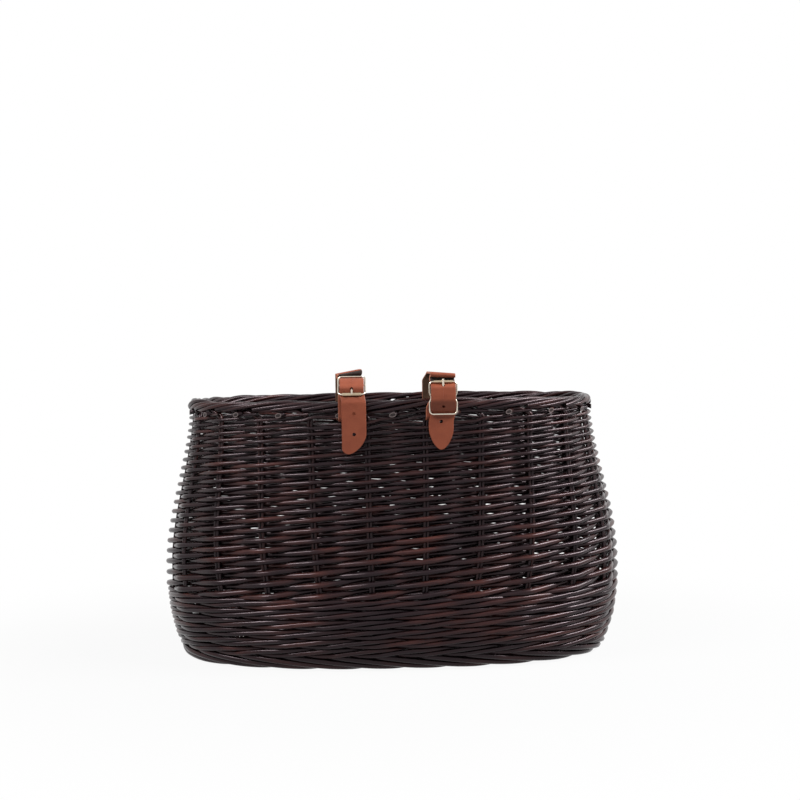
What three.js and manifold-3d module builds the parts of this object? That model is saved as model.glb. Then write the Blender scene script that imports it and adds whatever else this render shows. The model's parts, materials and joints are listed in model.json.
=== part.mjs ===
// Oval willow bicycle basket with two buckled leather straps.
// Millimetres, +Z up, -Y is the side that faces the handlebar, +X is its right.
import * as THREE from "three";
import { mergeVertices } from "three/addons/utils/BufferGeometryUtils.js";
import Module from "manifold-3d";

const wasm = await Module();
wasm.setup();

// Wall, measured over the outside of the rods.
const BELLY_WIDTH = 414;
const BELLY_DEPTH = 250;
const HEIGHT = 233;
const PLAN_EXPONENT = 2.37;
const BELLY_LOW = 73;
const BELLY_HIGH = 84;
const RIM_INSET_ENDS = 22;
const RIM_INSET_SIDES = 15;
const FOOT_TUCK_ENDS = 33;
const FOOT_TUCK_SIDES = 40;
const FOOT_STEEPNESS = 7;

// Rods.
const STAKE_COUNT = 23;
const SPACING_BIAS = -0.13;
const RIM_SPREAD = 0.4;
const FIRST_STAKE = 0.55;
const STAKE_WIDTH = 5.6;
const STAKE_THICKNESS = 3.2;
const BUTT_ROD = 5.0;
const TIP_ROD = 3.5;
const WALE_ROD = 5.0;
const WALE_RODS = 3;
const WALE_TOP = 57;
const BORDER_ROD = 5.8;
const BORDER_BEND = 6;
const FOOT_ROD = 4.6;
const FOOT_FLAT = 1.2;
const BASE_STICKS = 13;
const BASE_STICK = 5;
const BASE_SPINE = 75;
const BASE_BAND = 9.6;
const BASE_ROD = 3.2;
const STRAP_SLOT = 5.2;
const FIT = 0.35;
const BORDER_FIT = 0.9;

// Straps and buckles.
const STRAP_WIDTH = 20.4;
const STRAP_THICKNESS = 2;
const STRAP_SLACK = 3;
const BUCKLE_WIRE = 2.2;
const BUCKLE_REACH = 13.9;
const BUCKLE_CORNER = 3;
const PINCH = 0.9;
const WAIST = 4.5;
const WAIST_FLAT = 1.6;
const PRONG_WIDTH = 2.2;
const PRONG_THICKNESS = 1.8;
const PRONG_ROOM = 0.8;
const PRONG_TIP = 0.8;
const PRONG_BEND = 2;
const EYE_WALL = 1;
const EYE_SLOT = 4.2;
const NECK_LENGTH = 4.4;
const NECK_DEPTH = 1.3;
const PIN_SLOT_SHARE = 0.75;
const PIN_SLOT_BACK = 2.4;
const PIN_SLOT_DEPTH = 2.1;
const HOLE_DIAMETER = 3.4;
const BAR_ROOM = 0.2;
const BAR_ENTRY = 1.2;
const BAR_EXIT = 1.6;
const CROWN = 3.5;
const TAIL_REACH = 2;
const LEG_DROP = 10;
const SLOT_BEND = 3;
const LOOP_BEND = 6;
const LOOP_LEAN = 3;

// Rises and drops are measured from the rim. A tip is the outline of a strap's end in half widths.
const RIGHT = {
  side: 1,
  offset: 41.1,
  lean: 0,
  buckleRise: 1.7,
  prong: 1,
  tailDrop: 42.6,
  tailStart: 1.4,
  tailLead: 0,
  tip: [[-1, 1.02], [-0.78, 0.42], [-0.22, 0.1], [0, 0], [0.34, 0.1], [0.78, 0.42], [1, 1.02]],
  tailHoleDrops: [18.6],
  strapHole: -6.9,
  loopRise: 22.2,
};
const LEFT = {
  side: -1,
  offset: 36.6,
  lean: 59,
  buckleRise: 13.2,
  prong: -1,
  tailDrop: 44.7,
  tailStart: 3.5,
  tailLead: 0.6,
  tip: [[-1, 0.66], [-0.78, 0.2], [-0.61, 0.04], [-0.39, 0], [-0.05, 0.04], [0.78, 1.02], [1, 1.5]],
  tailHoleDrops: [10.5, 28],
  strapHole: null,
  loopRise: 25.5,
};

// Sizes that follow from the ones above.
const TUCK_HEIGHT = BELLY_LOW + FOOT_STEEPNESS;
const KINK = 1.3;
const REACH = STAKE_THICKNESS / 2 + BUTT_ROD + FIT + KINK;
const KINK_SHARE = 0.38;
const INSIDE_ROOM = 0.25;
const TWIST_RODS = 3;
const BORDER_STEPS = 3;
const FOOT_STEPS = 2;
const BORDER_LAY = twistRadius(BORDER_ROD, BORDER_STEPS, BORDER_FIT);
const FOOT_LAY = twistRadius(FOOT_ROD, FOOT_STEPS, FIT);
const BORDER_Z = HEIGHT - BORDER_LAY - BORDER_ROD / 2;
const BORDER_LOW = BORDER_Z - BORDER_LAY - BORDER_ROD / 2;
const FOOT_Z = FOOT_LAY + FOOT_ROD / 2 - FOOT_FLAT;
const FOOT_TOP = FOOT_Z + FOOT_LAY + FOOT_ROD / 2;
const BASE_LOW = FOOT_TOP + FIT;
const BASE_LIFT = 0.4 * BASE_ROD;
const BASE_TOP = BASE_LOW + 2 * BASE_LIFT + BASE_ROD;
const STAKE_FOOT = BASE_TOP + FIT + STAKE_THICKNESS / 4;
const STAKE_TOP = BORDER_Z - BORDER_LAY - BORDER_BEND;
const WEAVE_TOP = BORDER_LOW - STRAP_SLOT;
const SLOT_Z = (WEAVE_TOP + BORDER_LOW) / 2;
const LEVELS = [0, 0.1, 0.22, 0.35, 0.56, 0.78, 1];
const ROUND = [[1, 0], [0, 1], [-1, 0], [0, -1]];
const FLAT = [[1, 1], [-1, 1], [-1, -1], [1, -1]];
const HEX_FLAT = Math.sin(Math.PI / 3);

const UP = new THREE.Vector3(0, 0, 1);
const willow = new THREE.MeshStandardMaterial({ color: 0x33201d, roughness: 0.45, metalness: 0 });
const leather = new THREE.MeshStandardMaterial({ color: 0x8a4a38, roughness: 0.6, metalness: 0 });
const nickel = new THREE.MeshStandardMaterial({ color: 0xc9c2b4, roughness: 0.25, metalness: 1 });

const root = new THREE.Group();
root.name = "bicycle_basket";
const whole = new THREE.Group();
whole.name = "whole";
root.add(whole);
const basket = new THREE.Group();
basket.name = "basket";
whole.add(basket);

// Radius at which three twisted rods clear each other between two stations.
function twistRadius(rod, steps, gap) {
  const halfStep = Math.PI / (TWIST_RODS * steps);
  return (rod + gap) / (Math.sqrt(3) * Math.cos(halfStep));
}

function smooth(t) {
  const c = Math.min(1, Math.max(0, t));
  return c * c * (3 - 2 * c);
}

// How far the wall lies inside the belly at height z.
function inset(z, rim, tuck) {
  if (z >= BELLY_HIGH) return rim * smooth((z - BELLY_HIGH) / (HEIGHT - BELLY_HIGH));
  if (z >= BELLY_LOW) return 0;
  const s = Math.min(1, (BELLY_LOW - z) / TUCK_HEIGHT);
  return tuck * (1 - Math.sqrt(1 - s * s));
}

// The same, straight between the levels where a stake bends.
function stakeInset(z, rim, tuck) {
  const t = (z - STAKE_FOOT) / (STAKE_TOP - STAKE_FOOT);
  if (t <= 0 || t >= 1) return inset(z, rim, tuck);
  const i = LEVELS.findIndex((level) => level > t);
  const low = STAKE_FOOT + LEVELS[i - 1] * (STAKE_TOP - STAKE_FOOT);
  const high = STAKE_FOOT + LEVELS[i] * (STAKE_TOP - STAKE_FOOT);
  const share = (z - low) / (high - low);
  return (1 - share) * inset(low, rim, tuck) + share * inset(high, rim, tuck);
}

function signedPower(v, p) {
  return Math.sign(v) * Math.abs(v) ** p;
}

// Point of the wall's middle surface, where the stakes stand.
function wallPoint(angle, z) {
  const a = BELLY_WIDTH / 2 - REACH - stakeInset(z, RIM_INSET_ENDS, FOOT_TUCK_ENDS);
  const b = BELLY_DEPTH / 2 - REACH - stakeInset(z, RIM_INSET_SIDES, FOOT_TUCK_SIDES);
  const x = a * signedPower(Math.cos(angle), 2 / PLAN_EXPONENT);
  const y = b * signedPower(Math.sin(angle), 2 / PLAN_EXPONENT);
  return new THREE.Vector3(x, y, z);
}

// Horizontal direction out of the wall.
function wallNormal(angle, z) {
  const step = 1e-3;
  const along = wallPoint(angle + step, z).sub(wallPoint(angle - step, z));
  return new THREE.Vector3(along.y, -along.x, 0).normalize();
}

// Plan angle at a place counted in stakes, from the middle of the handlebar side, at height z.
// The stakes of the two long sides stand further apart at the rim than at the foot.
const placeAngle = (() => {
  const samples = 6000;
  const start = -Math.PI / 2;
  const lengths = [0];
  let last = wallPoint(start, BELLY_LOW);
  for (let i = 1; i <= samples; i++) {
    const next = wallPoint(start + (2 * Math.PI * i) / samples, BELLY_LOW);
    lengths.push(lengths[i - 1] + next.distanceTo(last));
    last = next;
  }
  return (place, z) => {
    const t = (place + FIRST_STAKE) / STAKE_COUNT;
    const bias = SPACING_BIAS + (RIM_SPREAD * z) / HEIGHT;
    const biased = t + (bias * Math.sin(4 * Math.PI * t)) / (4 * Math.PI);
    const turns = Math.floor(biased);
    const wanted = (biased - turns) * lengths[samples];
    const i = Math.max(1, lengths.findIndex((l) => l >= wanted));
    const share = (wanted - lengths[i - 1]) / (lengths[i] - lengths[i - 1]);
    return start + 2 * Math.PI * (turns + (i - 1 + share) / samples);
  };
})();

// Closed surface through rings of equal length; a ring that is not closed on itself gets two caps.
function loft(rings, closed) {
  const sides = rings[0].length;
  const positions = rings.flat().flatMap((p) => [p.x, p.y, p.z]);
  const index = [];
  const last = closed ? rings.length : rings.length - 1;
  for (let i = 0; i < last; i++) {
    const a = i * sides;
    const b = ((i + 1) % rings.length) * sides;
    for (let j = 0; j < sides; j++) {
      const k = (j + 1) % sides;
      index.push(a + j, a + k, b + k, a + j, b + k, b + j);
    }
  }
  if (!closed) {
    const end = (rings.length - 1) * sides;
    for (let j = 1; j < sides - 1; j++) {
      index.push(0, j + 1, j);
      index.push(end, end + j, end + j + 1);
    }
  }
  const geometry = new THREE.BufferGeometry();
  geometry.setAttribute("position", new THREE.Float32BufferAttribute(positions, 3));
  geometry.setIndex(volume(positions, index) < 0 ? index.reverse() : index);
  return geometry;
}

function volume(p, index) {
  let sum = 0;
  for (let i = 0; i < index.length; i += 3) {
    const [a, b, c] = [index[i] * 3, index[i + 1] * 3, index[i + 2] * 3];
    sum += p[a] * (p[b + 1] * p[c + 2] - p[b + 2] * p[c + 1]);
    sum += p[a + 1] * (p[b + 2] * p[c] - p[b] * p[c + 2]);
    sum += p[a + 2] * (p[b] * p[c + 1] - p[b + 1] * p[c]);
  }
  return sum / 6;
}

function add(group, name, geometry, material) {
  const shown = geometry.index ? geometry.toNonIndexed() : geometry;
  shown.computeVertexNormals();
  const mesh = new THREE.Mesh(shown, material);
  mesh.name = name;
  group.add(mesh);
}

function toSolid(geometry) {
  const bare = new THREE.BufferGeometry();
  bare.setAttribute("position", geometry.getAttribute("position"));
  bare.setIndex(geometry.index);
  const merged = mergeVertices(bare, 1e-4);
  return new wasm.Manifold(
    new wasm.Mesh({
      numProp: 3,
      vertProperties: new Float32Array(merged.attributes.position.array),
      triVerts: new Uint32Array(merged.index.array),
    }),
  );
}

function toGeometry(solid) {
  const mesh = solid.getMesh();
  const geometry = new THREE.BufferGeometry();
  geometry.setAttribute("position", new THREE.BufferAttribute(mesh.vertProperties, 3));
  geometry.setIndex(new THREE.BufferAttribute(mesh.triVerts, 1));
  return geometry;
}

// Rod or band that runs level round the basket: a four-sided section, mitred where it turns.
function levelRod(points, widths, heights, section) {
  const rings = points.map((p, i) => {
    const before = points[Math.max(0, i - 1)];
    const after = points[Math.min(points.length - 1, i + 1)];
    const into = i > 0 ? p.clone().sub(before).setZ(0).normalize() : null;
    const out = i < points.length - 1 ? after.clone().sub(p).setZ(0).normalize() : null;
    const first = into ?? out;
    const second = out ?? into;
    const across = first.clone().add(second).normalize();
    const mitre = new THREE.Vector3(across.y, -across.x, 0);
    const square = new THREE.Vector3(first.y, -first.x, 0);
    mitre.multiplyScalar(widths[i] / 2 / mitre.dot(square));
    const rise = UP.clone().multiplyScalar(heights[i] / 2);
    return section.map(([x, y]) => p.clone().addScaledVector(mitre, x).addScaledVector(rise, y));
  });
  return loft(rings, false);
}

// Distance between the middle of a stake and of the rod that passes it.
function passOffset(place, z, rod, outside) {
  const here = wallPoint(placeAngle(place, z), z);
  const normal = wallNormal(placeAngle(place, z), z);
  const base = STAKE_THICKNESS / 2 + rod / 2 + FIT;
  if (!outside) return base + INSIDE_ROOM;
  const slopes = [-1, 1].map((step) => {
    const next = wallPoint(placeAngle(place + step, z), z);
    const fall = here.clone().sub(next).dot(normal) + 2 * base;
    return fall / here.distanceTo(next);
  });
  return base + KINK_SHARE * STAKE_WIDTH * Math.max(...slopes);
}

function passStake(place, z, rod, outside) {
  const angle = placeAngle(place, z);
  const offset = passOffset(place, z, rod, outside) * (outside ? 1 : -1);
  return wallPoint(angle, z).addScaledVector(wallNormal(angle, z), offset);
}

// Stakes: each is a pair of rods laid side by side, bent over at the top into the rim border.
function addStakes() {
  const border = [];
  for (let k = 0; k < STAKE_COUNT; k++) {
    const points = LEVELS.map((t) => {
      const z = STAKE_FOOT + t * (STAKE_TOP - STAKE_FOOT);
      return wallPoint(placeAngle(k, z), z);
    });
    const along = wallNormal(placeAngle(k, STAKE_TOP), STAKE_TOP).cross(UP);
    const top = points[points.length - 1];
    for (const turn of [0.5, 1]) {
      const bend = (turn * Math.PI) / 2;
      const p = top.clone().addScaledVector(along, BORDER_BEND * (1 - Math.cos(bend)));
      points.push(p.addScaledVector(UP, BORDER_BEND * Math.sin(bend)));
    }
    const steps = TWIST_RODS * BORDER_STEPS - 1;
    for (let i = 1; i <= steps; i++) {
      points.push(twistPoint(k - i / BORDER_STEPS, BORDER_Z, BORDER_LAY, i / (steps + 1)));
    }
    const upright = LEVELS.length;
    const rings = transport(points, along.clone().negate(), (i) => {
      const t = smooth((i - upright + 1) / 4);
      const width = (1 - t) * STAKE_WIDTH + t * BORDER_ROD;
      const thickness = (1 - t) * (STAKE_THICKNESS / HEX_FLAT) + t * BORDER_ROD;
      return [width / 2, thickness / 2];
    });
    add(basket, `stake_${String(k + 1).padStart(2, "0")}`, loft(rings, false), willow);
    border.push(rings.slice(upright));
  }
  return border;
}

// Point of a rod twisted round the wall's edge: bottom, inside, top, outside as turn goes 0 to 1.
function twistPoint(place, z, radius, turn) {
  const angle = placeAngle(place, z);
  const phase = 2 * Math.PI * turn;
  const p = wallPoint(angle, z).addScaledVector(wallNormal(angle, z), -radius * Math.sin(phase));
  return p.addScaledVector(UP, -radius * Math.cos(phase));
}

// Six-sided rings square to a path, turned no more than the path turns.
function transport(points, firstAxis, halfSizes) {
  const axis = firstAxis.clone();
  let lastTangent = null;
  return points.map((p, i) => {
    const tangent = new THREE.Vector3();
    if (i > 0) tangent.add(p.clone().sub(points[i - 1]).normalize());
    if (i < points.length - 1) tangent.add(points[i + 1].clone().sub(p).normalize());
    tangent.normalize();
    if (lastTangent) {
      axis.applyQuaternion(new THREE.Quaternion().setFromUnitVectors(lastTangent, tangent));
    }
    axis.addScaledVector(tangent, -axis.dot(tangent)).normalize();
    lastTangent = tangent;
    const other = tangent.clone().cross(axis);
    const [w, h] = halfSizes(i);
    return [0, 1, 2, 3, 4, 5].map((j) => {
      const a = (j * Math.PI) / 3;
      return p.clone().addScaledVector(axis, w * Math.cos(a)).addScaledVector(other, h * Math.sin(a));
    });
  });
}

// Side weave: one rod starts at each stake, and all climb together, outside one and inside the next.
function addWeavers() {
  const low = WALE_TOP + FIT;
  const mean = (BUTT_ROD + TIP_ROD) / 2;
  const fitting = Math.floor((WEAVE_TOP - low + FIT) / (mean + FIT));
  const rows = fitting % 2 ? fitting : fitting - 1;
  const gap = (WEAVE_TOP - low - rows * mean) / (rows - 1);
  const sizes = [];
  const heights = [];
  for (let q = 0; q < rows; q++) {
    sizes.push(BUTT_ROD + ((TIP_ROD - BUTT_ROD) * q) / (rows - 1));
    heights.push(q ? heights[q - 1] + (sizes[q - 1] + sizes[q]) / 2 + gap : low + sizes[0] / 2);
  }
  for (let k = 0; k < STAKE_COUNT; k++) {
    const points = heights.map((z, q) => passStake(k + q, z, sizes[q], q % 2 === 1));
    add(basket, `weaver_${String(k + 1).padStart(2, "0")}`, levelRod(points, sizes, sizes, ROUND), willow);
  }
}

// Waling round the foot of the wall: rods that climb together, outside two stakes and inside the third.
function addWale() {
  const apart = Math.floor(STAKE_COUNT / WALE_RODS);
  const rise = (WALE_ROD + FIT) / apart;
  const steps = Math.floor((WALE_TOP - STAKE_FOOT - WALE_ROD) / rise);
  for (let j = 0; j < WALE_RODS; j++) {
    const start = Math.round((j * STAKE_COUNT) / WALE_RODS);
    const points = [];
    for (let i = 0; i <= steps; i++) {
      const z = STAKE_FOOT + WALE_ROD / 2 + i * rise;
      points.push(passStake(start + i, z, WALE_ROD, i % 3 !== 0));
    }
    const sizes = points.map(() => WALE_ROD);
    add(basket, `wale_${j + 1}`, levelRod(points, sizes, sizes, ROUND), willow);
  }
}

// Foot: one long rod laid three times round, twisted on itself and pared flat underneath.
function addFoot() {
  const stations = TWIST_RODS * FOOT_STEPS * STAKE_COUNT;
  const points = [];
  for (let i = 0; i < stations; i++) {
    points.push(twistPoint(i / FOOT_STEPS, FOOT_Z, FOOT_LAY, i / (TWIST_RODS * FOOT_STEPS)));
  }
  const rings = points.map((p, i) => {
    const before = points[(i + stations - 1) % stations];
    const after = points[(i + 1) % stations];
    const tangent = after.clone().sub(before).normalize();
    const side = tangent.clone().cross(UP).normalize();
    const rise = side.clone().cross(tangent);
    return [45, 117, 189, 261, 333].map((degrees) => {
      const a = THREE.MathUtils.degToRad(degrees + 9);
      const across = (FOOT_ROD / 2) * Math.cos(a);
      const up = (FOOT_ROD / 2) * Math.sin(a);
      return p.clone().addScaledVector(side, across).addScaledVector(rise, up);
    });
  });
  const floor = new THREE.BoxGeometry(BELLY_WIDTH, BELLY_DEPTH, FOOT_ROD).translate(0, 0, -FOOT_ROD / 2);
  const solid = toSolid(loft(rings, true)).subtract(toSolid(floor));
  add(basket, "foot_border", toGeometry(solid), willow);
}

// Point of the base: share goes from 0 on its spine to 1 under the stakes.
function basePoint(place, share, z) {
  const edge = wallPoint(placeAngle(place, z), z);
  const spine = new THREE.Vector3((edge.x * BASE_SPINE) / (BELLY_WIDTH / 2), 0, z);
  return spine.lerp(edge, share);
}

// Base: sticks that fan out from a spine, and a band of thin rods woven round and round them.
function addBase() {
  const middle = (BASE_LOW + BASE_TOP) / 2;
  const apart = STAKE_COUNT / BASE_STICKS;
  const reach = basePoint(0, 1, middle).length();
  const rounds = Math.floor(reach / (BASE_BAND + FIT));
  const first = 1 / (2 * rounds);
  const steps = Math.round((rounds - 1) * BASE_STICKS);
  const points = [];
  for (let i = 0; i <= steps; i++) {
    const share = first + ((1 - first) * i) / steps;
    points.push(basePoint(i * apart, share, middle + (i % 2 ? BASE_LIFT : -BASE_LIFT)));
  }
  const widths = points.map(() => BASE_BAND);
  const heights = points.map(() => BASE_ROD);
  const band = levelRod(points, widths, heights, FLAT);
  const spine = new THREE.BoxGeometry(2 * BASE_SPINE, BASE_BAND, BASE_ROD).translate(0, 0, middle);
  let solid = toSolid(band).add(toSolid(spine));
  for (let k = 0; k < BASE_STICKS; k++) {
    const ends = [basePoint(k * apart, 0, middle), basePoint(k * apart, 1, middle)];
    solid = solid.add(toSolid(levelRod(ends, [BASE_STICK, BASE_STICK], [BASE_ROD, BASE_ROD], ROUND)));
  }
  add(basket, "base_mat", toGeometry(solid), willow);
}

// Prism along X of an outline drawn in Y and Z.
function extrudeAcross(outline, from, to, holes = []) {
  const shape = new THREE.Shape(outline);
  shape.holes = holes.map((hole) => new THREE.Path(hole));
  const geometry = new THREE.ExtrudeGeometry(shape, { depth: to - from, bevelEnabled: false });
  const turn = new THREE.Matrix4().makeBasis(
    new THREE.Vector3(0, 1, 0),
    new THREE.Vector3(0, 0, 1),
    new THREE.Vector3(1, 0, 0),
  );
  return geometry.applyMatrix4(turn).translate(from, 0, 0);
}

// Outline of a band of even thickness along a line.
function band(line, thickness) {
  const near = [];
  const far = [];
  line.forEach((p, i) => {
    const into = i > 0 ? p.clone().sub(line[i - 1]).normalize() : null;
    const out = i < line.length - 1 ? line[i + 1].clone().sub(p).normalize() : null;
    const first = into ?? out;
    const second = out ?? into;
    const mean = first.clone().add(second).normalize();
    const normal = new THREE.Vector2(-mean.y, mean.x);
    const square = new THREE.Vector2(-first.y, first.x);
    normal.multiplyScalar(thickness / 2 / normal.dot(square));
    near.push(p.clone().add(normal));
    far.push(p.clone().sub(normal));
  });
  return [...near, ...far.reverse()];
}

// Three points that round a corner of a line.
function roundCorner(before, corner, after, reach) {
  const start = before.clone().sub(corner).setLength(reach).add(corner);
  const end = after.clone().sub(corner).setLength(reach).add(corner);
  const middle = start.clone().add(end).multiplyScalar(0.5).lerp(corner, Math.SQRT2 - 1);
  return [start, middle, end];
}

function circle(cx, cy, radius, sides) {
  const points = [];
  for (let i = 0; i < sides; i++) {
    const a = (2 * Math.PI * (i + 0.5)) / sides;
    points.push(new THREE.Vector2(cx + radius * Math.cos(a), cy + radius * Math.sin(a)));
  }
  return points;
}

// One strap with its buckle. The strap is hooked round the buckle's middle bar, goes through the wall
// under the border, up inside, over the rim and back down through the buckle.
class Strap {
  constructor(options, border) {
    Object.assign(this, options);
    this.name = this.side > 0 ? "right" : "left";
    this.group = new THREE.Group();
    this.group.name = `${this.name}_strap_set`;
    this.group.position.x = this.side * this.offset;
    whole.add(this.group);
    const middle = this.group.position.x;
    const [outside, inside] = borderReach(border, middle - STRAP_WIDTH / 2, middle + STRAP_WIDTH / 2);
    this.fixedY = outside - FIT - STRAP_THICKNESS / 2;
    this.backY = inside + FIT + STRAP_THICKNESS / 2 + STRAP_SLACK;
    const wire = BUCKLE_WIRE / 2;
    this.hook = wire + FIT + STRAP_THICKNESS / 2;
    this.over = this.hook + STRAP_THICKNESS + FIT;
    this.under = this.hook + BAR_ROOM;
    const lean = THREE.MathUtils.degToRad(this.lean);
    this.up = new THREE.Vector2(Math.sin(lean), Math.cos(lean));
    this.out = new THREE.Vector2(-Math.cos(lean), Math.sin(lean));
    this.loopTop = HEIGHT + this.loopRise;
    const upright = this.fixedY - this.under - STRAP_THICKNESS - 2 * FIT;
    const leaning = this.fixedY + STRAP_THICKNESS;
    this.centre = new THREE.Vector2(this.lean ? leaning : upright, HEIGHT + this.buckleRise);
  }

  // Point in Y and Z from a place in the buckle's own plane: u up along it, n out of it.
  at(u, n) {
    return this.centre.clone().addScaledVector(this.up, u).addScaledVector(this.out, n);
  }

  tailTop() {
    const bar = this.at(-BUCKLE_REACH - TAIL_REACH, -this.under - FIT);
    return new THREE.Vector2(bar.x - this.tailLead, bar.y - this.tailStart);
  }

  line() {
    const points = [];
    for (const degrees of [-50, -15, 20, 60, 100, 140, 180]) {
      const a = THREE.MathUtils.degToRad(degrees);
      points.push(this.at(this.hook * Math.sin(a), this.hook * Math.cos(a)));
    }
    const legTop = new THREE.Vector2(this.fixedY, this.centre.y - LEG_DROP);
    const slotFront = new THREE.Vector2(this.fixedY, SLOT_Z);
    const slotBack = new THREE.Vector2(this.backY, SLOT_Z);
    const rim = new THREE.Vector2(this.backY, HEIGHT);
    points.push(legTop);
    points.push(...roundCorner(legTop, slotFront, slotBack, SLOT_BEND));
    points.push(...roundCorner(slotFront, slotBack, rim, SLOT_BEND));
    if (this.lean) points.push(rim);
    points.push(...this.arch(rim));
    points.push(this.at(BUCKLE_REACH - BAR_ENTRY, -this.under));
    points.push(this.at(CROWN, this.over));
    points.push(this.at(-CROWN, this.over));
    points.push(this.at(-BUCKLE_REACH + BAR_ENTRY, -this.under));
    points.push(this.at(-BUCKLE_REACH - BAR_EXIT, -this.under - FIT));
    const end = this.tailTop();
    points.push(new THREE.Vector2(end.x, end.y + FIT));
    return points;
  }

  // Top of the loop, from the back leg to the place where the strap goes behind the buckle.
  arch(rim) {
    const start = this.at(BUCKLE_REACH + 1.5 * BUCKLE_WIRE, -this.under);
    const back = new THREE.Vector2(this.backY + (this.lean ? LOOP_LEAN : 0), this.loopTop);
    const front = new THREE.Vector2(start.x, this.loopTop);
    const bend = Math.min(LOOP_BEND, 0.45 * (back.x - front.x));
    const fold = Math.min(bend, 0.85 * (front.y - start.y));
    return [...roundCorner(rim, back, front, bend), ...roundCorner(back, front, start, fold), start];
  }

  addStrap() {
    const half = STRAP_WIDTH / 2;
    const outline = band(this.line(), STRAP_THICKNESS);
    const eye = PRONG_WIDTH / 2 + PRONG_ROOM;
    const neck = half - BUCKLE_WIRE / 2 - PINCH;
    const front = this.hook + STRAP_THICKNESS / 2 + FIT / 2;
    let solid = toSolid(extrudeAcross(outline, -half, half));
    solid = solid.subtract(this.cutter(-EYE_SLOT, EYE_SLOT, -this.hook - STRAP_THICKNESS, front, -eye, eye));
    const back = -this.hook - NECK_DEPTH;
    solid = solid.subtract(this.cutter(-NECK_LENGTH, NECK_LENGTH, back, front, neck, 2 * half));
    solid = solid.subtract(this.cutter(-NECK_LENGTH, NECK_LENGTH, back, front, -2 * half, -neck));
    const slot = [this.prong * PIN_SLOT_SHARE * BUCKLE_REACH, -this.prong * PIN_SLOT_BACK];
    const [low, high] = [Math.min(...slot), Math.max(...slot)];
    const outside = this.over + 2 * STRAP_THICKNESS;
    solid = solid.subtract(this.cutter(low, high, -PIN_SLOT_DEPTH, outside, -eye, eye));
    if (this.strapHole !== null) solid = solid.subtract(this.punch(this.strapHole));
    add(this.group, `${this.name}_strap`, toGeometry(solid), leather);
  }

  // Round punch through the strap's front at a place along the buckle.
  punch(u) {
    const length = 2 * this.over;
    const tool = new THREE.CylinderGeometry(HOLE_DIAMETER / 2, HOLE_DIAMETER / 2, length, 8);
    const p = this.at(u, length / 2 - STRAP_THICKNESS - FIT);
    tool.rotateX(Math.atan2(this.out.y, this.out.x));
    return toSolid(tool.translate(0, p.x, p.y));
  }

  // Block in the buckle's own axes, for cutting.
  cutter(u0, u1, n0, n1, x0, x1) {
    const corners = [this.at(u0, n0), this.at(u1, n0), this.at(u1, n1), this.at(u0, n1)];
    const turned = THREE.ShapeUtils.area(corners) < 0 ? corners.reverse() : corners;
    return toSolid(extrudeAcross(turned, x0, x1));
  }

  addTail() {
    const top = this.tailTop();
    const half = STRAP_WIDTH / 2;
    const end = HEIGHT - this.tailDrop;
    const shape = new THREE.Shape();
    shape.moveTo(-half, top.y);
    for (const [x, rise] of this.tip) shape.lineTo(half * x, end + half * rise);
    shape.lineTo(half, top.y);
    shape.holes = this.tailHoleDrops.map((drop) => {
      return new THREE.Path(circle(0, HEIGHT - drop, HOLE_DIAMETER / 2, 8));
    });
    const geometry = new THREE.ExtrudeGeometry(shape, { depth: STRAP_THICKNESS, bevelEnabled: false });
    geometry.rotateX(Math.PI / 2).translate(0, top.x + STRAP_THICKNESS / 2, 0);
    add(this.group, `${this.name}_strap_tail`, geometry, leather);
  }

  addBuckle() {
    const wire = BUCKLE_WIRE / 2;
    const wide = STRAP_WIDTH / 2 + FIT + wire;
    const reach = BUCKLE_REACH;
    const cut = (1 - Math.SQRT1_2) * BUCKLE_CORNER;
    const quarter = [
      [wide - BUCKLE_CORNER, reach],
      [wide - cut, reach - cut],
      [wide, reach - BUCKLE_CORNER],
      [wide, WAIST],
      [wide - PINCH, WAIST_FLAT],
    ];
    const loop = [];
    loop.push(...quarter);
    loop.push(...quarter.map(([x, u]) => [x, -u]).reverse());
    loop.push(...quarter.map(([x, u]) => [-x, -u]));
    loop.push(...quarter.map(([x, u]) => [-x, u]).reverse());
    const points = loop.map(([x, u]) => this.inSpace(x, u, 0));
    const out = new THREE.Vector3(0, this.out.x, this.out.y);
    const rings = points.map((p, i) => {
      const into = p.clone().sub(points[(i + points.length - 1) % points.length]).normalize();
      const away = points[(i + 1) % points.length].clone().sub(p).normalize();
      const side = into.clone().add(away).normalize().cross(out);
      const stretch = 1 / side.dot(into.clone().cross(out));
      return [0, 1, 2, 3, 4, 5].map((j) => {
        const a = (j * Math.PI) / 3;
        const q = p.clone().addScaledVector(side, stretch * wire * Math.cos(a));
        return q.addScaledVector(out, wire * Math.sin(a));
      });
    });
    const frame = toSolid(loft(rings, true));
    const from = this.inSpace(-wide + PINCH, 0, 0);
    const to = this.inSpace(wide - PINCH, 0, 0);
    const bar = toSolid(loft(transport([from, to], out, () => [wire, wire]), false));
    add(this.group, `${this.name}_buckle`, toGeometry(frame.add(bar)), nickel);
  }

  inSpace(x, u, n) {
    const p = this.at(u, n);
    return new THREE.Vector3(x, p.x, p.y);
  }

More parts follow.
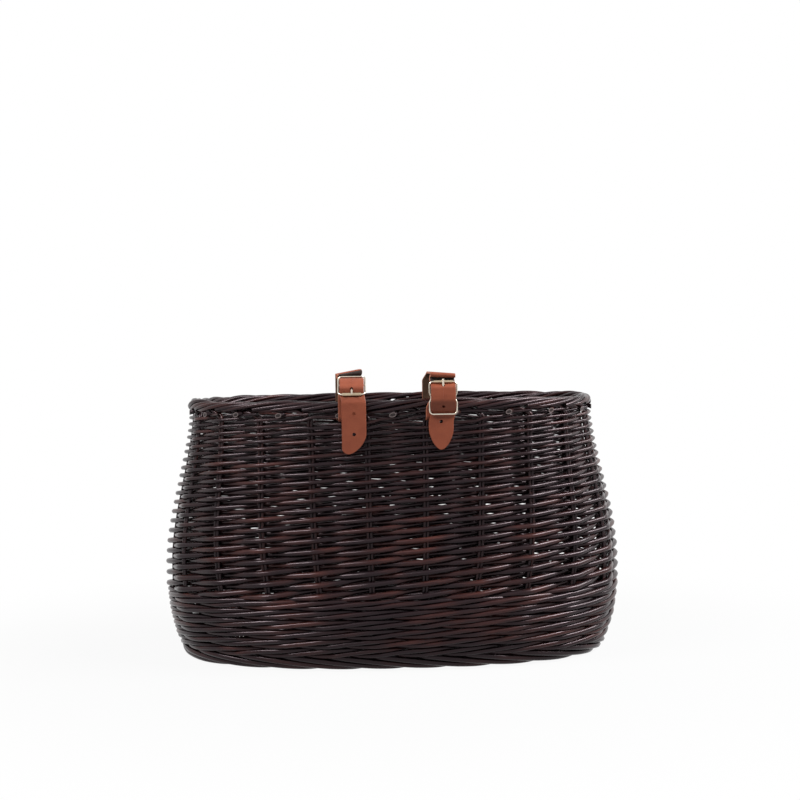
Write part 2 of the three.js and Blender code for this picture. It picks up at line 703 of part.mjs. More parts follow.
  // Prong: an eye that turns on the middle bar, and a pin that rests on an end bar.
  addProng() {
    const wire = BUCKLE_WIRE / 2;
    const hole = wire + FIT;
    const eye = hole + EYE_WALL;
    const rest = wire + FIT + PRONG_THICKNESS / 2;
    const end = BUCKLE_REACH + wire + PRONG_TIP;
    const half = PRONG_THICKNESS / 2;
    const outline = [];
    const flip = (u, n) => this.at(this.prong * u, n);
    outline.push(flip(end, rest - half * 0.4));
    outline.push(flip(end, rest + half));
    outline.push(flip(BUCKLE_REACH - PRONG_BEND, rest + half));
    outline.push(flip(PRONG_WIDTH, eye * 0.94));
    for (const degrees of [95, 130, 165, 200, 235, 270, 305, 340]) {
      const a = THREE.MathUtils.degToRad(degrees);
      outline.push(flip(eye * Math.cos(a), eye * Math.sin(a)));
    }
    outline.push(flip(eye, half * 0.4));
    outline.push(flip(BUCKLE_REACH - PRONG_BEND, rest - half));
    const ring = circle(0, 0, hole / Math.cos(Math.PI / 10), 10).map((p) => this.at(p.x, p.y));
    const turned = THREE.ShapeUtils.area(outline) < 0 ? outline.reverse() : outline;
    const width = PRONG_WIDTH / 2;
    const geometry = extrudeAcross(turned, -width, width, [ring]);
    add(this.group, `${this.name}_prong`, geometry, nickel);
  }

  // Point on the flat underside of the loop, where a handlebar bears.
  barSeat() {
    if (this.lean) return this.inSpace(BUCKLE_WIRE * 3, BUCKLE_REACH + 1, -this.under - STRAP_THICKNESS / 2);
    const start = this.at(BUCKLE_REACH, -this.under);
    const middle = (this.backY + start.x) / 2;
    return new THREE.Vector3(0, middle, this.loopTop - STRAP_THICKNESS / 2);
  }

  addAll() {
    this.addStrap();
    this.addTail();
    this.addBuckle();
    this.addProng();
  }
}

// Outermost and innermost Y of the border's rods on the handlebar side between two places along X.
function borderReach(border, x0, x1) {
  let outside = 0;
  let inside = -BELLY_DEPTH;
  for (const rings of border) {
    for (let i = 1; i < rings.length; i++) {
      rings[i].forEach((p, j) => {
        const q = rings[i - 1][j];
        if (Math.max(p.x, q.x) < x0 || Math.min(p.x, q.x) > x1 || p.y > 0) return;
        for (const x of [x0, x1]) {
          const share = Math.min(1, Math.max(0, (x - q.x) / (p.x - q.x)));
          const y = q.y + share * (p.y - q.y);
          outside = Math.min(outside, y);
          inside = Math.max(inside, y);
        }
      });
    }
  }
  return [outside, inside];
}

addFoot();
addBase();
const border = addStakes();
addWale();
addWeavers();
const straps = [new Strap(LEFT, border), new Strap(RIGHT, border)];
for (const strap of straps) strap.addAll();

// The origin is under the middle of the whole part.
const box = new THREE.Box3().setFromObject(whole);
whole.position.set(-(box.min.x + box.max.x) / 2, -(box.min.y + box.max.y) / 2, -box.min.z);
root.updateMatrixWorld(true);

// Points that the joints and the handlebar use.
for (const strap of straps) {
  const tail = strap.tailTop();
  const points = {
    bar: strap.inSpace(0, 0, 0),
    flex: new THREE.Vector3(0, tail.x - STRAP_THICKNESS / 2, tail.y),
    seat: strap.barSeat(),
  };
  for (const name in points) points[name] = strap.group.localToWorld(points[name]).toArray();
  root.userData[strap.name] = points;
}

export default root;
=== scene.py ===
"""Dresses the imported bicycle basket: woven willow rods, leather straps and wire buckles."""

import json
import logging
import math
import random
from dataclasses import dataclass, field
from enum import Enum

import bmesh
import bpy
import numpy as np
from mathutils import Matrix, Vector

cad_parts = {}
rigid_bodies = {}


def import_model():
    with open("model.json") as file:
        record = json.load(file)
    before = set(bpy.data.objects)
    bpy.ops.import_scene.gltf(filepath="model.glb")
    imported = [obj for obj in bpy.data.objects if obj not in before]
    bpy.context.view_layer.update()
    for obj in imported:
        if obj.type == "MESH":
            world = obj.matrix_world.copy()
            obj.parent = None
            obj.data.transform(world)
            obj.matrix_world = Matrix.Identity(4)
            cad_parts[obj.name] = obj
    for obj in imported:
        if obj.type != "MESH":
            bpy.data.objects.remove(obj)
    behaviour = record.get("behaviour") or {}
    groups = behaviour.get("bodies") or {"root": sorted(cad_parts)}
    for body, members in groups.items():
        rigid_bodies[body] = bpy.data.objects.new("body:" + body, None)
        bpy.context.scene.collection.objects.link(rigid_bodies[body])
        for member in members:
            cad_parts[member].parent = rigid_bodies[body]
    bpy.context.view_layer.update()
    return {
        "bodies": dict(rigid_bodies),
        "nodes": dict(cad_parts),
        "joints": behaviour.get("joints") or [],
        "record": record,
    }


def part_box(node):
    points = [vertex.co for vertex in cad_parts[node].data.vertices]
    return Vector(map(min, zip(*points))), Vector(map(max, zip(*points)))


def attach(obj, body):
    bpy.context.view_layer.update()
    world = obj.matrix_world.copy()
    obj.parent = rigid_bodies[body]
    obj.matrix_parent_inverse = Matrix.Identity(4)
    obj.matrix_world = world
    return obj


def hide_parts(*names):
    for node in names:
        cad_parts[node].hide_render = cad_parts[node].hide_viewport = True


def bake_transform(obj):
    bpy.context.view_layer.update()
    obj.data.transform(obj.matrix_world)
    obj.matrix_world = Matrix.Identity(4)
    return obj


Socket = bpy.types.NodeSocket
MM = 0.001
Color = tuple[float, float, float, float]
Span = tuple[float, float]
Stretch = tuple[float, float, float]
Corner = tuple[Vector, float]
WHOLE: Span = (0.0, 1.0)
BASKET_BODY = "basket"
UV_NAME = "UVMap"
log = logging.getLogger("basket")


class Slot(Enum):
    """The record's material slots."""

    WILLOW = "willow"
    LEATHER = "leather"
    NICKEL = "nickel"


class Side(Enum):
    """Which of the two straps, by the side of the handlebar face that it hangs on."""

    LEFT = "left"
    RIGHT = "right"


class NodeGroup:
    """A shader node group under construction."""

    def __init__(self, name: str) -> None:
        """Starts an empty group.

        Args:
            name: The group's name.
        """
        self.tree = bpy.data.node_groups.new(name, "ShaderNodeTree")
        self.source = self.tree.nodes.new("NodeGroupInput")
        self.result = self.tree.nodes.new("NodeGroupOutput")

    def takes(self, name: str, kind: str) -> Socket:
        """Adds an input.

        Args:
            name: The input's name.
            kind: Its socket type, such as Float, Color or Vector.

        Returns:
            The socket inside the group that carries the input.
        """
        self.tree.interface.new_socket(name, in_out="INPUT", socket_type=f"NodeSocket{kind}")
        return self.source.outputs[name]

    def gives(self, name: str, kind: str, value: Socket) -> None:
        """Adds an output.

        Args:
            name: The output's name.
            kind: Its socket type.
            value: The socket that it puts out.
        """
        self.tree.interface.new_socket(name, in_out="OUTPUT", socket_type=f"NodeSocket{kind}")
        self.tree.links.new(value, self.result.inputs[name])


def put(socket: Socket, value: object) -> None:
    """Links or sets an input.

    Args:
        socket: The input.
        value: Another node's output, or a plain value.
    """
    if isinstance(value, Socket):
        socket.id_data.links.new(value, socket)
    else:
        socket.default_value = value


def stretched(tree: bpy.types.NodeTree, vector: Socket, scale: Stretch) -> Socket:
    """Scales a coordinate.

    Args:
        tree: The node tree.
        vector: The coordinate.
        scale: The factor along each axis.

    Returns:
        The scaled coordinate.
    """
    node = tree.nodes.new("ShaderNodeMapping")
    put(node.inputs["Vector"], vector)
    node.inputs["Scale"].default_value = scale
    return node.outputs["Vector"]


def noise(tree: bpy.types.NodeTree, vector: Socket, scale: float, detail: float) -> Socket:
    """Adds a noise texture.

    Args:
        tree: The node tree.
        vector: Its coordinate.
        scale: Its scale.
        detail: Its detail.

    Returns:
        The noise as a value.
    """
    node = tree.nodes.new("ShaderNodeTexNoise")
    put(node.inputs["Vector"], vector)
    node.inputs["Scale"].default_value = scale
    node.inputs["Detail"].default_value = detail
    return node.outputs["Fac"]


def cells(tree: bpy.types.NodeTree, vector: Socket, scale: float) -> Socket:
    """Adds a cell texture.

    Args:
        tree: The node tree.
        vector: Its coordinate.
        scale: Its scale.

    Returns:
        The distance from the nearest cell's middle.
    """
    node = tree.nodes.new("ShaderNodeTexVoronoi")
    put(node.inputs["Vector"], vector)
    node.inputs["Scale"].default_value = scale
    return node.outputs["Distance"]


def remap(tree: bpy.types.NodeTree, value: Socket, span: Span, result: Span) -> Socket:
    """Maps a value from one span to another, clamped.

    Args:
        tree: The node tree.
        value: The value.
        span: Its lowest and highest value.
        result: What these become.

    Returns:
        The mapped value.
    """
    node = tree.nodes.new("ShaderNodeMapRange")
    node.interpolation_type = "SMOOTHSTEP"
    put(node.inputs["Value"], value)
    node.inputs["From Min"].default_value = span[0]
    node.inputs["From Max"].default_value = span[1]
    node.inputs["To Min"].default_value = result[0]
    node.inputs["To Max"].default_value = result[1]
    return node.outputs["Result"]


def mixed(tree: bpy.types.NodeTree, share: object, first: object, second: object) -> Socket:
    """Mixes two colours.

    Args:
        tree: The node tree.
        share: How much of the second.
        first: The first colour.
        second: The second colour.

    Returns:
        The mixed colour.
    """
    node = tree.nodes.new("ShaderNodeMix")
    node.data_type = "RGBA"
    put(node.inputs["Factor"], share)
    put(node.inputs["A"], first)
    put(node.inputs["B"], second)
    return node.outputs["Result"]


def reckon(tree: bpy.types.NodeTree, operation: str, first: object, second: object = 0.0) -> Socket:
    """Works out one step of arithmetic.

    Args:
        tree: The node tree.
        operation: The Math node's operation.
        first: The first number.
        second: The second number.

    Returns:
        The result.
    """
    node = tree.nodes.new("ShaderNodeMath")
    node.operation = operation
    put(node.inputs[0], first)
    put(node.inputs[1], second)
    return node.outputs[0]


@dataclass(frozen=True)
class BarkPattern:
    """Scales, spans and heights of the bark, along a rod and round it."""

    streaks: Stretch = (70, 1500, 1)
    streak_detail: float = 3
    patches: Stretch = (16, 40, 1)
    patch_detail: float = 2
    regions: float = 14
    scars: Stretch = (26, 160, 1)
    warm_patches: Span = (0.42, 0.66)
    warm_streaks: Span = (0.3, 0.62)
    warm_regions: Span = (0.35, 0.65)
    warm_share: Span = (0.3, 1.0)
    scar_size: Span = (0.03, 0.16)
    gloss_streaks: Span = (0.3, 0.7)
    roughness: Span = (0.2, 0.32)
    ridge_height: float = 0.6
    scar_height: float = 0.5


@dataclass(frozen=True)
class GrainPattern:
    """Scales of the fine grain."""

    pebbles: float = 1500
    pebble_size: Span = (0.1, 0.7)
    cloud: float = 90
    cloud_detail: float = 3
    fleck: float = 900
    fleck_detail: float = 2


def rod_bark_group(pattern: BarkPattern) -> bpy.types.NodeTree:
    """Builds the bark of a stained rod: long streaks, warm patches and leaf scars.

    Args:
        pattern: Its scales, spans and heights.

    Returns:
        The node group. Its Along input is a coordinate in metres, along the rod and round it.
    """
    group = NodeGroup("rod_bark")
    tree = group.tree
    along = group.takes("Along", "Vector")
    place = group.takes("Place", "Vector")
    dark = group.takes("Dark", "Color")
    warm = group.takes("Warm", "Color")
    streaks = noise(tree, stretched(tree, along, pattern.streaks), 1, pattern.streak_detail)
    patches = noise(tree, stretched(tree, along, pattern.patches), 1, pattern.patch_detail)
    regions = noise(tree, place, pattern.regions, pattern.patch_detail)
    warmth = remap(tree, patches, pattern.warm_patches, WHOLE)
    for value, span in ((streaks, pattern.warm_streaks), (regions, pattern.warm_regions)):
        warmth = reckon(tree, "MULTIPLY", warmth, remap(tree, value, span, pattern.warm_share))
    scar_cells = cells(tree, stretched(tree, along, pattern.scars), 1)
    scars = remap(tree, scar_cells, pattern.scar_size, WHOLE)
    group.gives("Color", "Color", mixed(tree, reckon(tree, "MULTIPLY", warmth, scars), dark, warm))
    group.gives("Roughness", "Float", remap(tree, streaks, pattern.gloss_streaks, pattern.roughness))
    ridges = reckon(tree, "MULTIPLY", streaks, pattern.ridge_height)
    pits = reckon(tree, "MULTIPLY", scars, pattern.scar_height)
    group.gives("Height", "Float", reckon(tree, "ADD", ridges, pits))
    return tree


def fine_grain_group(pattern: GrainPattern) -> bpy.types.NodeTree:
    """Builds a fine pebbled grain, for leather and for the worn gloss of metal.

    Args:
        pattern: Its scales.

    Returns:
        The node group. Its Place input is a coordinate in metres.
    """
    group = NodeGroup("fine_grain")
    tree = group.tree
    place = group.takes("Place", "Vector")
    pebbles = remap(tree, cells(tree, place, pattern.pebbles), pattern.pebble_size, WHOLE[::-1])
    group.gives("Pebbles", "Float", pebbles)
    group.gives("Cloud", "Float", noise(tree, place, pattern.cloud, pattern.cloud_detail))
    group.gives("Fleck", "Float", noise(tree, place, pattern.fleck, pattern.fleck_detail))
    return tree


class Effects:
    """The node groups that the finishes share, each built once."""

    def __init__(self) -> None:
        """Builds the groups."""
        self.rod_bark = rod_bark_group(BarkPattern())
        self.fine_grain = fine_grain_group(GrainPattern())


@dataclass(frozen=True)
class Finish:
    """A finish: its name and the plain values of its shader."""

    name: str
    color: Color
    roughness: float = 0.5
    metallic: float = 0.0
    coat: float = 0.0
    coat_roughness: float = 0.2
    specular: float = 0.5
    tint: Color = (1, 1, 1, 1)

    def start(self) -> tuple[bpy.types.Material, bpy.types.NodeTree, bpy.types.Node]:
        """Makes the material with its shader.

        Returns:
            The material, its node tree and its Principled node.
        """
        material = bpy.data.materials.new(self.name)
        material.use_nodes = True
        tree = material.node_tree
        shader = tree.nodes["Principled BSDF"]
        shader.inputs["Base Color"].default_value = self.color
        shader.inputs["Roughness"].default_value = self.roughness
        shader.inputs["Metallic"].default_value = self.metallic
        shader.inputs["Coat Weight"].default_value = self.coat
        shader.inputs["Coat Roughness"].default_value = self.coat_roughness
        shader.inputs["Specular IOR Level"].default_value = self.specular
        shader.inputs["Specular Tint"].default_value = self.tint
        return material, tree, shader

    @staticmethod
    def place(tree: bpy.types.NodeTree, output: str, group: bpy.types.NodeTree) -> bpy.types.Node:
        """Places a shared group fed by a coordinate.

        Args:
            tree: The material's tree.
            output: The texture coordinate that feeds the group's first input.
            group: The shared group.

        Returns:
            The group node.
        """
        coordinate = tree.nodes.new("ShaderNodeTexCoord")
        node = tree.nodes.new("ShaderNodeGroup")
        node.node_tree = group
        tree.links.new(coordinate.outputs[output], node.inputs[0])
        return node

    @staticmethod
    def bump(tree: bpy.types.NodeTree, shader: bpy.types.Node, height: Socket, depth: float) -> None:
        """Feeds a height into the shader's normal.

        Args:
            tree: The material's tree.
            shader: The Principled node.
            height: The height.
            depth: What a height of one stands for, in metres.
        """
        node = tree.nodes.new("ShaderNodeBump")
        node.inputs["Distance"].default_value = depth
        node.inputs["Strength"].default_value = 1.0
        tree.links.new(height, node.inputs["Height"])
        tree.links.new(node.outputs["Normal"], shader.inputs["Normal"])


@dataclass(frozen=True)
class WillowFinish(Finish):
    """Willow, stained dark and lacquered."""

    warm: Color = (0.11, 0.03, 0.02, 1)
    bark_depth: float = 0.03 * MM

    def make(self, effects: Effects) -> bpy.types.Material:
        """Makes the material.

        Args:
            effects: The shared groups.

        Returns:
            The material.
        """
        material, tree, shader = self.start()
        bark = self.place(tree, "UV", effects.rod_bark)
        coordinate = tree.nodes.new("ShaderNodeTexCoord")
        tree.links.new(coordinate.outputs["Object"], bark.inputs["Place"])
        bark.inputs["Dark"].default_value = self.color
        bark.inputs["Warm"].default_value = self.warm
        tree.links.new(bark.outputs["Color"], shader.inputs["Base Color"])
        tree.links.new(bark.outputs["Roughness"], shader.inputs["Roughness"])
        self.bump(tree, shader, bark.outputs["Height"], self.bark_depth)
        return material


@dataclass(frozen=True)
class LeatherFinish(Finish):
    """Leather, on its grain side, its flesh side or its cut edge."""

    shade: Color = (0.2, 0.05, 0.03, 1)
    depth: float = 0.05 * MM
    cloud_span: Span = (0.35, 0.7)
    cloud_share: Span = (0.0, 0.55)
    fleck_span: Span = (0.45, 0.75)
    fleck_share: Span = (0.0, 0.3)
    gloss_span: Span = (0.3, 0.7)
    gloss_spread: Span = (-0.07, 0.08)

    def make(self, effects: Effects) -> bpy.types.Material:
        """Makes the material.

        Args:
            effects: The shared groups.

        Returns:
            The material.
        """
        material, tree, shader = self.start()
        grain = self.place(tree, "UV", effects.fine_grain)
        clouds = remap(tree, grain.outputs["Cloud"], self.cloud_span, self.cloud_share)
        flecks = remap(tree, grain.outputs["Fleck"], self.fleck_span, self.fleck_share)
        tone = reckon(tree, "ADD", clouds, flecks)
        tree.links.new(mixed(tree, tone, self.color, self.shade), shader.inputs["Base Color"])
        spread = (self.roughness + self.gloss_spread[0], self.roughness + self.gloss_spread[1])
        rough = remap(tree, grain.outputs["Fleck"], self.gloss_span, spread)
        tree.links.new(rough, shader.inputs["Roughness"])
        height = reckon(tree, "ADD", grain.outputs["Pebbles"], grain.outputs["Fleck"])
        self.bump(tree, shader, height, self.depth)
        return material


@dataclass(frozen=True)
class MetalFinish(Finish):
    """Plated wire."""

    tarnish: Color = (0.34, 0.28, 0.21, 1)
    worn_span: Span = (0.5, 0.75)
    worn_share: Span = (0.0, 0.6)
    gloss_span: Span = (0.3, 0.7)
    gloss_loss: float = 0.12

    def make(self, effects: Effects) -> bpy.types.Material:
        """Makes the material.

        Args:
            effects: The shared groups.

        Returns:
            The material.
        """
        material, tree, shader = self.start()
        grain = self.place(tree, "Object", effects.fine_grain)
        worn = remap(tree, grain.outputs["Cloud"], self.worn_span, self.worn_share)
        tree.links.new(mixed(tree, worn, self.color, self.tarnish), shader.inputs["Base Color"])
        spread = (self.roughness, self.roughness + self.gloss_loss)
        rough = remap(tree, grain.outputs["Fleck"], self.gloss_span, spread)
        tree.links.new(rough, shader.inputs["Roughness"])
        return material


LACQUER_TINT = (1.0, 0.8, 0.86, 1)
BARK = WillowFinish(
    "stained_willow",
    (0.007, 0.0034, 0.0043, 1),
    warm=(0.052, 0.015, 0.011, 1),
    specular=0.26,
    tint=LACQUER_TINT,
)
CUT_ROD = WillowFinish(
    "cut_rod", (0.02, 0.014, 0.014, 1), warm=(0.035, 0.025, 0.024, 1), specular=0.2
)
PARED_EDGE = WillowFinish(
    "pared_edge", (0.12, 0.092, 0.09, 1), warm=(0.14, 0.105, 0.1, 1), specular=0.3
)
GRAIN_SIDE = LeatherFinish(
    "strap_grain_side",
    (0.202, 0.052, 0.0255, 1),
    roughness=0.46,
    specular=0.22,
    shade=(0.157, 0.037, 0.0185, 1),
)
FLESH_SIDE = LeatherFinish(
    "strap_flesh_side",
    (0.1, 0.055, 0.035, 1),
    roughness=0.85,
    specular=0.1,
    shade=(0.06, 0.034, 0.022, 1),
)
CUT_EDGE = LeatherFinish(
    "strap_cut_edge",
    (0.36, 0.13, 0.075, 1),
    roughness=0.55,
    specular=0.25,
    shade=(0.25, 0.08, 0.045, 1),
)
# Painted shade: a near-black leather colour that stands in for the shade under the loop's lip, above the
# top bar.
PAINTED_SHADE_FOLD = LeatherFinish(
    "strap_painted_shade_fold",
    (0.022, 0.012, 0.01, 1),
    roughness=0.5,
    specular=0.3,
    shade=(0.012, 0.008, 0.007, 1),
)
PLATING = MetalFinish("nickel_plate", (0.62, 0.55, 0.46, 1), roughness=0.16, metallic=1.0)
ROLLER = MetalFinish(
    "worn_roller", (0.5, 0.41, 0.29, 1), roughness=0.24, metallic=1.0, tarnish=(0.3, 0.23, 0.15, 1)
)


def in_scene(name: str, data: bpy.types.ID) -> bpy.types.Object:
    """Puts a new object with this data into the scene."""
    thing = bpy.data.objects.new(name, data)
    bpy.context.scene.collection.objects.link(thing)
    return thing


def as_mesh(bm: bmesh.types.BMesh, name: str) -> bpy.types.Mesh:
    """Turns finished work into a mesh, and frees the work."""
    mesh = bpy.data.meshes.new(name)
    bm.to_mesh(mesh)
    bm.free()
    return mesh


@dataclass
class Workshop:
    """The finishes as materials, each made once for all the pieces."""

    effects: Effects = field(default_factory=Effects)
    made: dict[str, bpy.types.Material] = field(default_factory=dict)

    def finish(self, finish: Finish) -> bpy.types.Material:
        """Gives a finish as a material, made on first use.

        Args:
            finish: The finish.

        Returns:
            The material.
        """
        if finish.name not in self.made:
            self.made[finish.name] = finish.make(self.effects)
        return self.made[finish.name]

    def deliver(
        self, name: str, mesh: bpy.types.Mesh, finishes: list[Finish], slot: Slot
    ) -> bpy.types.Object:
        """Turns a mesh into a piece of the scene.

        Args:
            name: The piece's name.
            mesh: Its mesh, in place.
            finishes: Its finishes, in the order of the mesh's material indices.
            slot: The record's slot; not used.

        Returns:
            The piece.
        """
        for finish in finishes:
            mesh.materials.append(self.finish(finish))
        piece = in_scene(name, mesh)
        log.info("%s: %d faces", name, len(mesh.polygons))
        return piece


def smooth_step(t: np.ndarray) -> np.ndarray:
    """Eases from 0 to 1 as t goes from 0 to 1."""
    c = np.clip(t, 0.0, 1.0)
    return c * c * (3 - 2 * c)


def signed_power(v: np.ndarray, p: float) -> np.ndarray:
    """Raises a number's size to a power and keeps its sign."""
    return np.sign(v) * np.abs(v) ** p


def unit_rows(vectors: np.ndarray) -> np.ndarray:
    """Scales each row to a length of one."""
    return vectors / np.linalg.norm(vectors, axis=1)[:, None]


def lengths_along(line: np.ndarray) -> np.ndarray:
    """Measures how far along a line each of its points is."""
    return np.concatenate([[0.0], np.cumsum(np.linalg.norm(np.diff(line, axis=0), axis=1))])


@dataclass
class Wall:
    """The surface on which the stakes' middles stand.

    Places along it are counted in stakes, to the right from the middle of the handlebar side.
    """

    belly_width: float = 414 * MM
    belly_depth: float = 250 * MM
    height: float = 233 * MM
    plan_exponent: float = 2.37
    belly_low: float = 73 * MM
    belly_high: float = 84 * MM
    rim_inset_ends: float = 22 * MM
    rim_inset_sides: float = 15 * MM
    foot_tuck_ends: float = 33 * MM
    foot_tuck_sides: float = 40 * MM
    foot_steepness: float = 7 * MM
    stakes: int = 23
    first_stake: float = 0.55
    spacing_bias: float = -0.13
    rim_spread: float = 0.4
    reach: float = 6.4 * MM
    samples: int = 6001

    def __post_init__(self) -> None:
        """Measures the belly, so that places can be spread evenly along it."""
        self._angles = np.linspace(-0.5 * math.pi, 1.5 * math.pi, self.samples)
        heights = np.full(self.samples, self.belly_low)
        lengths = lengths_along(self._at(self._angles, heights, np.zeros(self.samples)))
        self._shares = lengths / lengths[-1]

    def _inset(self, z: np.ndarray, rim: float, tuck: float) -> np.ndarray:
        """Gives how far the wall lies inside the belly.

        Args:
            z: Heights.
            rim: The inset at the rim.
            tuck: The inset at the foot.

        Returns:
            The inset at each height.
        """
        up = smooth_step((z - self.belly_high) / (self.height - self.belly_high))
        down = np.clip((self.belly_low - z) / (self.belly_low + self.foot_steepness), 0, 1)
        return rim * up + tuck * (1 - np.sqrt(1 - down * down))

    def _at(self, angles: np.ndarray, z: np.ndarray, out: np.ndarray) -> np.ndarray:
        """Gives points at plan angles.

        Args:
            angles: Plan angles.
            z: Heights.
            out: Distances out of the wall.

        Returns:
            One row for each point.
        """
        n = self.plan_exponent
        a = self.belly_width / 2 - self.reach - self._inset(z, self.rim_inset_ends, self.foot_tuck_ends)
        b = self.belly_depth / 2 - self.reach - self._inset(z, self.rim_inset_sides, self.foot_tuck_sides)
        x = signed_power(np.cos(angles), 2 / n)
        y = signed_power(np.sin(angles), 2 / n)
        normal = unit_rows(np.stack([signed_power(x, n - 1) / a, signed_power(y, n - 1) / b], axis=1))
        return np.stack([a * x + out * normal[:, 0], b * y + out * normal[:, 1], z], axis=1)

    def points(self, places: object, z: object, out: object = 0.0) -> np.ndarray:
        """Gives points of the wall.

        Args:
            places: Places along the wall, counted in stakes.
            z: Heights.
            out: Distances out of the wall.

        Returns:
            One row for each point.
        """
        places, z, out = np.broadcast_arrays(np.atleast_1d(places).astype(float), z, out)
        t = (places + self.first_stake) / self.stakes
        bias = self.spacing_bias + self.rim_spread * z / self.height
        wave = 4 * math.pi
        t = t + bias * np.sin(wave * t) / wave
        turns = np.floor(t)
        angles = np.interp(t - turns, self._shares, self._angles)
        return self._at(angles, z.astype(float), out.astype(float))


def spline(points: np.ndarray, steps: int, slack: float = 0.5) -> np.ndarray:
    """Draws a springy curve through points.

    Args:
        points: The points that it goes through.
        steps: How many steps it takes between two of them.
        slack: How roundly it passes them: 0.5 is a free spring, less is tighter.

    Returns:
        The points of the curve.
    """
    ends = np.concatenate([points[:1], points, points[-1:]])
    tangents = slack * (ends[2:] - ends[:-2])
    t = np.linspace(0, 1, steps, endpoint=False)[:, None]
    curve = []
    for i in range(len(points) - 1):
        value = (2 * t**3 - 3 * t**2 + 1) * points[i] + (3 * t**2 - 2 * t**3) * points[i + 1]
        value = value + (t**3 - 2 * t**2 + t) * tangents[i] + (t**3 - t**2) * tangents[i + 1]
        curve.append(value)
    curve.append(points[-1:])
    return np.concatenate(curve)


def rounded(corners: list[Corner], closed: bool = False, step: float = 0.5 * MM) -> np.ndarray:
    """Draws a line of straight stretches and arcs.

    Args:
        corners: Each corner, in the plane, with the radius that rounds it.
        closed: Whether the line goes back to its start.
        step: The length of a step in an arc.

    Returns:
        The points of the line, one row each.
    """
    line: list[Vector] = []
    count = len(corners)
    for i, (corner, radius) in enumerate(corners):
        if not closed and i in (0, count - 1):
            line.append(corner)
            continue
        before = (corners[i - 1][0] - corner).normalized()
        after = (corners[(i + 1) % count][0] - corner).normalized()
        half = before.angle(after) / 2
        reach = radius / math.tan(half)
        middle = corner + (before + after).normalized() * (radius / math.sin(half))
        start = corner + before * reach - middle
        turn = (math.pi - 2 * half) * (1 if before.cross(after) < 0 else -1)
        arcs = max(2, math.ceil(abs(turn) * radius / step))
        for k in range(arcs + 1):
            line.append(middle + Matrix.Rotation(turn * k / arcs, 2) @ start)
    return np.array([tuple(p) for p in line])


